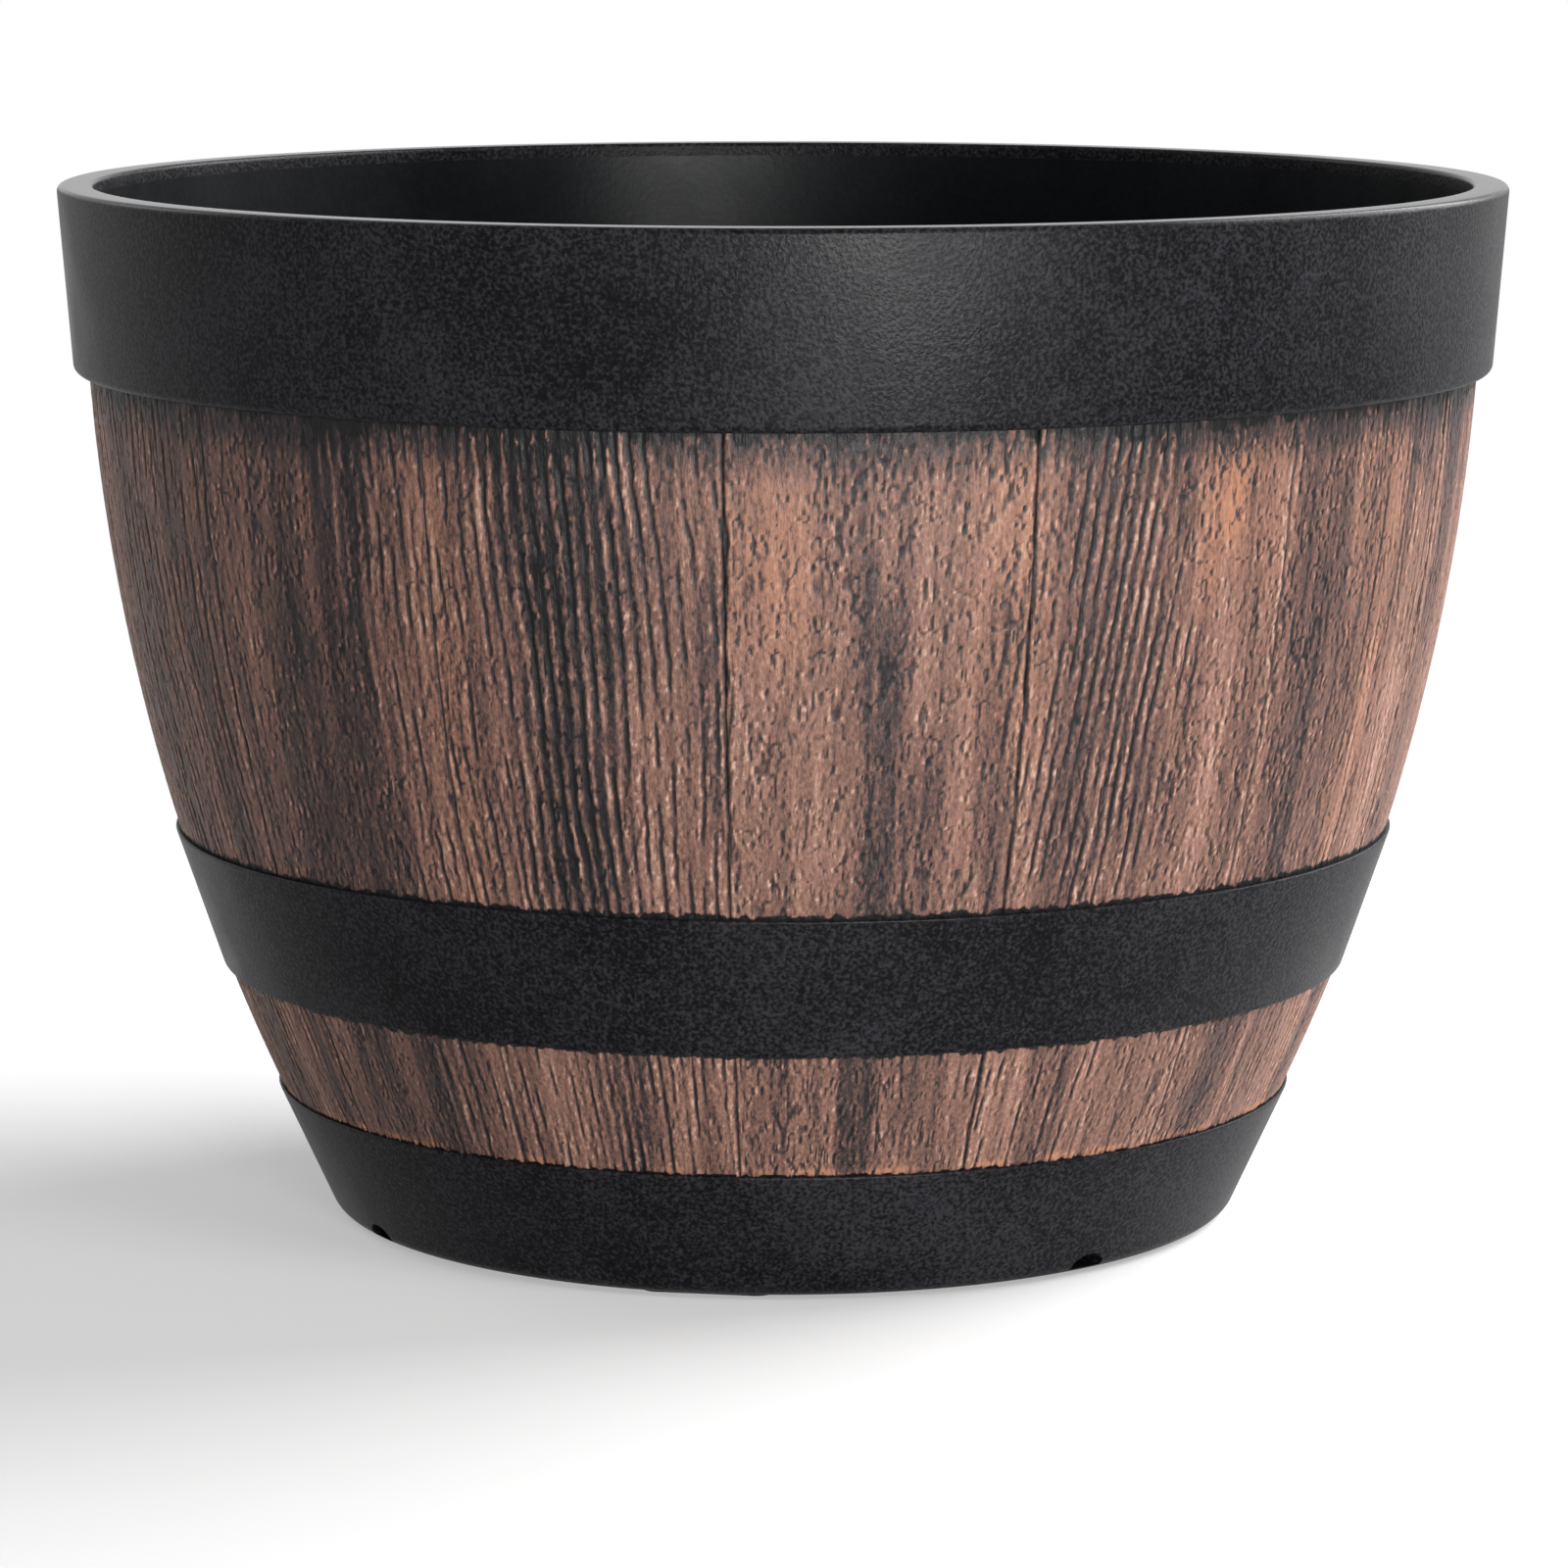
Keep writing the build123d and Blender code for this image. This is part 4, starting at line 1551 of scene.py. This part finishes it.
@dataclass
class DrainPlug:
    """The rubber plug: a flange on the floor, a hollow stem in the hole and a tab to pull it by."""

    finishes: Finishes
    seat_height: float = 10.0
    flange_radius: float = 14.0
    flange_thick: float = 2.2
    plug_radius: float = 9.9
    stem_low: float = 5.0
    stem_straight: float = 2.6
    stem_taper: float = 0.7
    stem_wall: float = 2.6
    tab_length: float = 17.0
    tab_thick: float = 3.2
    tab_height: float = 3.4
    tab_round: float = 1.1

    def body(self) -> Surface:
        """The plug's section turned about the axis, from the top's middle to the hollow's roof.

        Returns:
            The closed solid.
        """
        seat, low, radius = self.seat_height, self.stem_low, self.plug_radius
        top, bore = seat + self.flange_thick, radius - self.stem_wall
        outline = [
            (0.0, top, 0.0),
            (self.flange_radius, top, 0.8),
            (self.flange_radius, seat, 0.3),
            (radius, seat, 0.0),
            (radius, seat - self.stem_straight, 0.5),
            (radius - self.stem_taper, low, 0.4),
            (bore - self.stem_taper, low, 0.4),
            (bore, seat, 0.8),
            (0.0, seat, 0.0),
        ]
        return turned_solid(rounded(outline), 128)

    def tab(self) -> Surface:
        """The tab: a slot outline carried up, then drawn in along a quarter circle at its top.

        Returns:
            The closed bar.
        """
        half = self.tab_thick / 2
        around, shift = slot_outline((self.tab_length - self.tab_thick) / 2, 15)
        low = self.seat_height + self.flange_thick / 2
        high = self.seat_height + self.flange_thick + self.tab_height
        ease = np.linspace(0.0, np.pi / 2, 7)
        insets = np.concatenate([[0.0], self.tab_round * (1 - np.cos(ease))])
        heights = np.concatenate([[low], high - self.tab_round * (1 - np.sin(ease))])
        sections = []
        for inset, height in zip(insets, heights):
            along, across = shift + (half - inset) * around[:, 0], (half - inset) * around[:, 1]
            sections.append(np.stack([along, across, np.full(len(shift), height)], axis=1))
        return lofted(np.stack(sections))

    def build(self) -> None:
        """Makes the plug and its tab."""
        for name, surface in (("body", self.body()), ("tab", self.tab())):
            add_piece(f"drain_plug_{name}", surface, self.finishes.rubber, "drain_plug", body=Body.PLUG)


@dataclass(frozen=True)
class SoftLamp:
    """A large soft lamp, aimed at the pot's middle. Its lengths are in metres."""

    name: str
    turn: float
    elevation: float
    distance: float
    size: float
    power: float
    gloss_only: bool = False
    aim: float = 0.11

    def build(self) -> None:
        """Adds the lamp at its turn, elevation and distance."""
        data = bpy.data.lights.new(self.name, "AREA")
        data.shape, data.size, data.energy = "DISK", self.size, self.power
        lamp = bpy.data.objects.new(self.name, data)
        lamp.visible_diffuse = not self.gloss_only
        bpy.context.scene.collection.objects.link(lamp)
        turn, lift = math.radians(self.turn), math.radians(self.elevation)
        out = (math.sin(turn) * math.cos(lift), -math.cos(turn) * math.cos(lift), math.sin(lift))
        x, y, z = (part * self.distance for part in out)
        lamp.location = (x, y, z + self.aim)
        lamp.rotation_euler = (math.pi / 2 - lift, 0.0, turn)


@dataclass
class Studio:
    """Pale floor, white surroundings, soft lamps and the camera at the photograph's view, in metres."""

    lamps: tuple[SoftLamp, ...] = (
        SoftLamp("window_lamp", 17.0, 2.0, 1.9, 0.55, 28.0),
        SoftLamp("window_gloss", 16.0, 1.0, 1.9, 0.80, 84.0, True),
        SoftLamp("front_lamp", 38.0, 36.0, 1.9, 0.8, 8.0),
        SoftLamp("right_lamp", 118.0, 34.0, 1.5, 1.4, 44.0),
        SoftLamp("left_rim_lamp", -125.0, 30.0, 1.6, 0.7, 3.0),
    )
    ambient: float = 0.18
    floor_half: float = 30.0
    floor_near: float = 0.22
    floor_far: float = 0.60
    floor_greys: tuple[Colour, Colour] = ((0.66, 0.66, 0.66), (0.68, 0.68, 0.68))
    near_glow: float = 0.36
    far_glow: float = 0.3
    camera_distance: float = 1.3036
    camera_height: float = 0.2979
    camera_tilt: float = 80.956
    focal_length: float = 140.92
    shift_across: float = 0.0006

    def world(self) -> None:
        """Sets the world: white to the camera, to gloss and through glass, and a soft grey to the rest."""
        recipe = Recipe(bpy.data.worlds.new("surroundings"))
        values = {"Value": recipe.seen_rays(), "To Min": self.ambient, "To Max": 1.0}
        strength = recipe.node("MapRange", values).outputs["Result"]
        light = recipe.node("Background", {"Strength": strength, "Color": WHITE})
        bpy.context.scene.world = recipe.output("World", light)

    def floor(self) -> None:
        """Adds the floor: pale and shaded near the pot, and white to the eye further away."""
        half = self.floor_half
        corners = [(-half, -half, 0), (half, -half, 0), (half, half, 0), (-half, half, 0)]
        mesh = bpy.data.meshes.new("pale_floor")
        mesh.from_pydata(corners, [], [(0, 1, 2, 3)])
        floor = bpy.data.objects.new("pale_floor", mesh)
        bpy.context.scene.collection.objects.link(floor)
        recipe = Recipe(bpy.data.materials.new("pale_floor"))
        seen = recipe.seen_rays()
        place = recipe.node("TexCoord").outputs["Object"]
        away = recipe.node("VectorMath", {0: place}, operation="LENGTH").outputs["Value"]
        pale = recipe.blend(recipe.speckle(place, 60.0, 3.0), *self.floor_greys)
        near = recipe.node("BsdfDiffuse", {"Color": pale})
        lift = recipe.node("Emission", {"Strength": recipe.maths("MULTIPLY", seen, self.near_glow)})
        shaded = recipe.node("AddShader", {0: near.outputs[0], 1: lift.outputs[0]})
        white = recipe.node("Emission", {"Strength": recipe.ramp(seen, 0.0, 1.0, self.far_glow, 1.0)})
        share = recipe.ramp(away, self.floor_near, self.floor_far)
        mixed = recipe.node("MixShader", {0: share, 1: shaded.outputs[0], 2: white.outputs[0]})
        mesh.materials.append(recipe.output("Material", mixed))

    def camera(self) -> None:
        """Sets the camera on the front side, tilted down, with a long lens."""
        data = bpy.data.cameras.new("front_camera")
        data.lens, data.sensor_width = self.focal_length, 36.0
        data.shift_x = self.shift_across
        data.clip_end = 100.0
        camera = bpy.data.objects.new("front_camera", data)
        bpy.context.scene.collection.objects.link(camera)
        camera.location = (0.0, -self.camera_distance, self.camera_height)
        camera.rotation_euler = (math.radians(self.camera_tilt), 0.0, 0.0)
        bpy.context.scene.camera = camera

    def build(self) -> None:
        """Sets up the whole studio."""
        bpy.context.scene.view_settings.view_transform = "Standard"
        self.world()
        self.floor()
        self.camera()
        for lamp in self.lamps:
            lamp.build()


def main() -> None:
    """Builds the pot's sub-assemblies and the studio, in order."""
    logging.basicConfig(level=logging.INFO, format="%(name)s %(message)s")
    form, finishes = PotForm(), Finishes.mixed()
    StavedWall(form, finishes).build()
    RimBand(form, finishes).build()
    MiddleHoop(form, finishes).build()
    FootBand(form, finishes).build()
    RaisedFloor(form, finishes).build()
    DrainPlug(finishes).build()
    Studio().build()


if __name__ == "__main__":
    main()
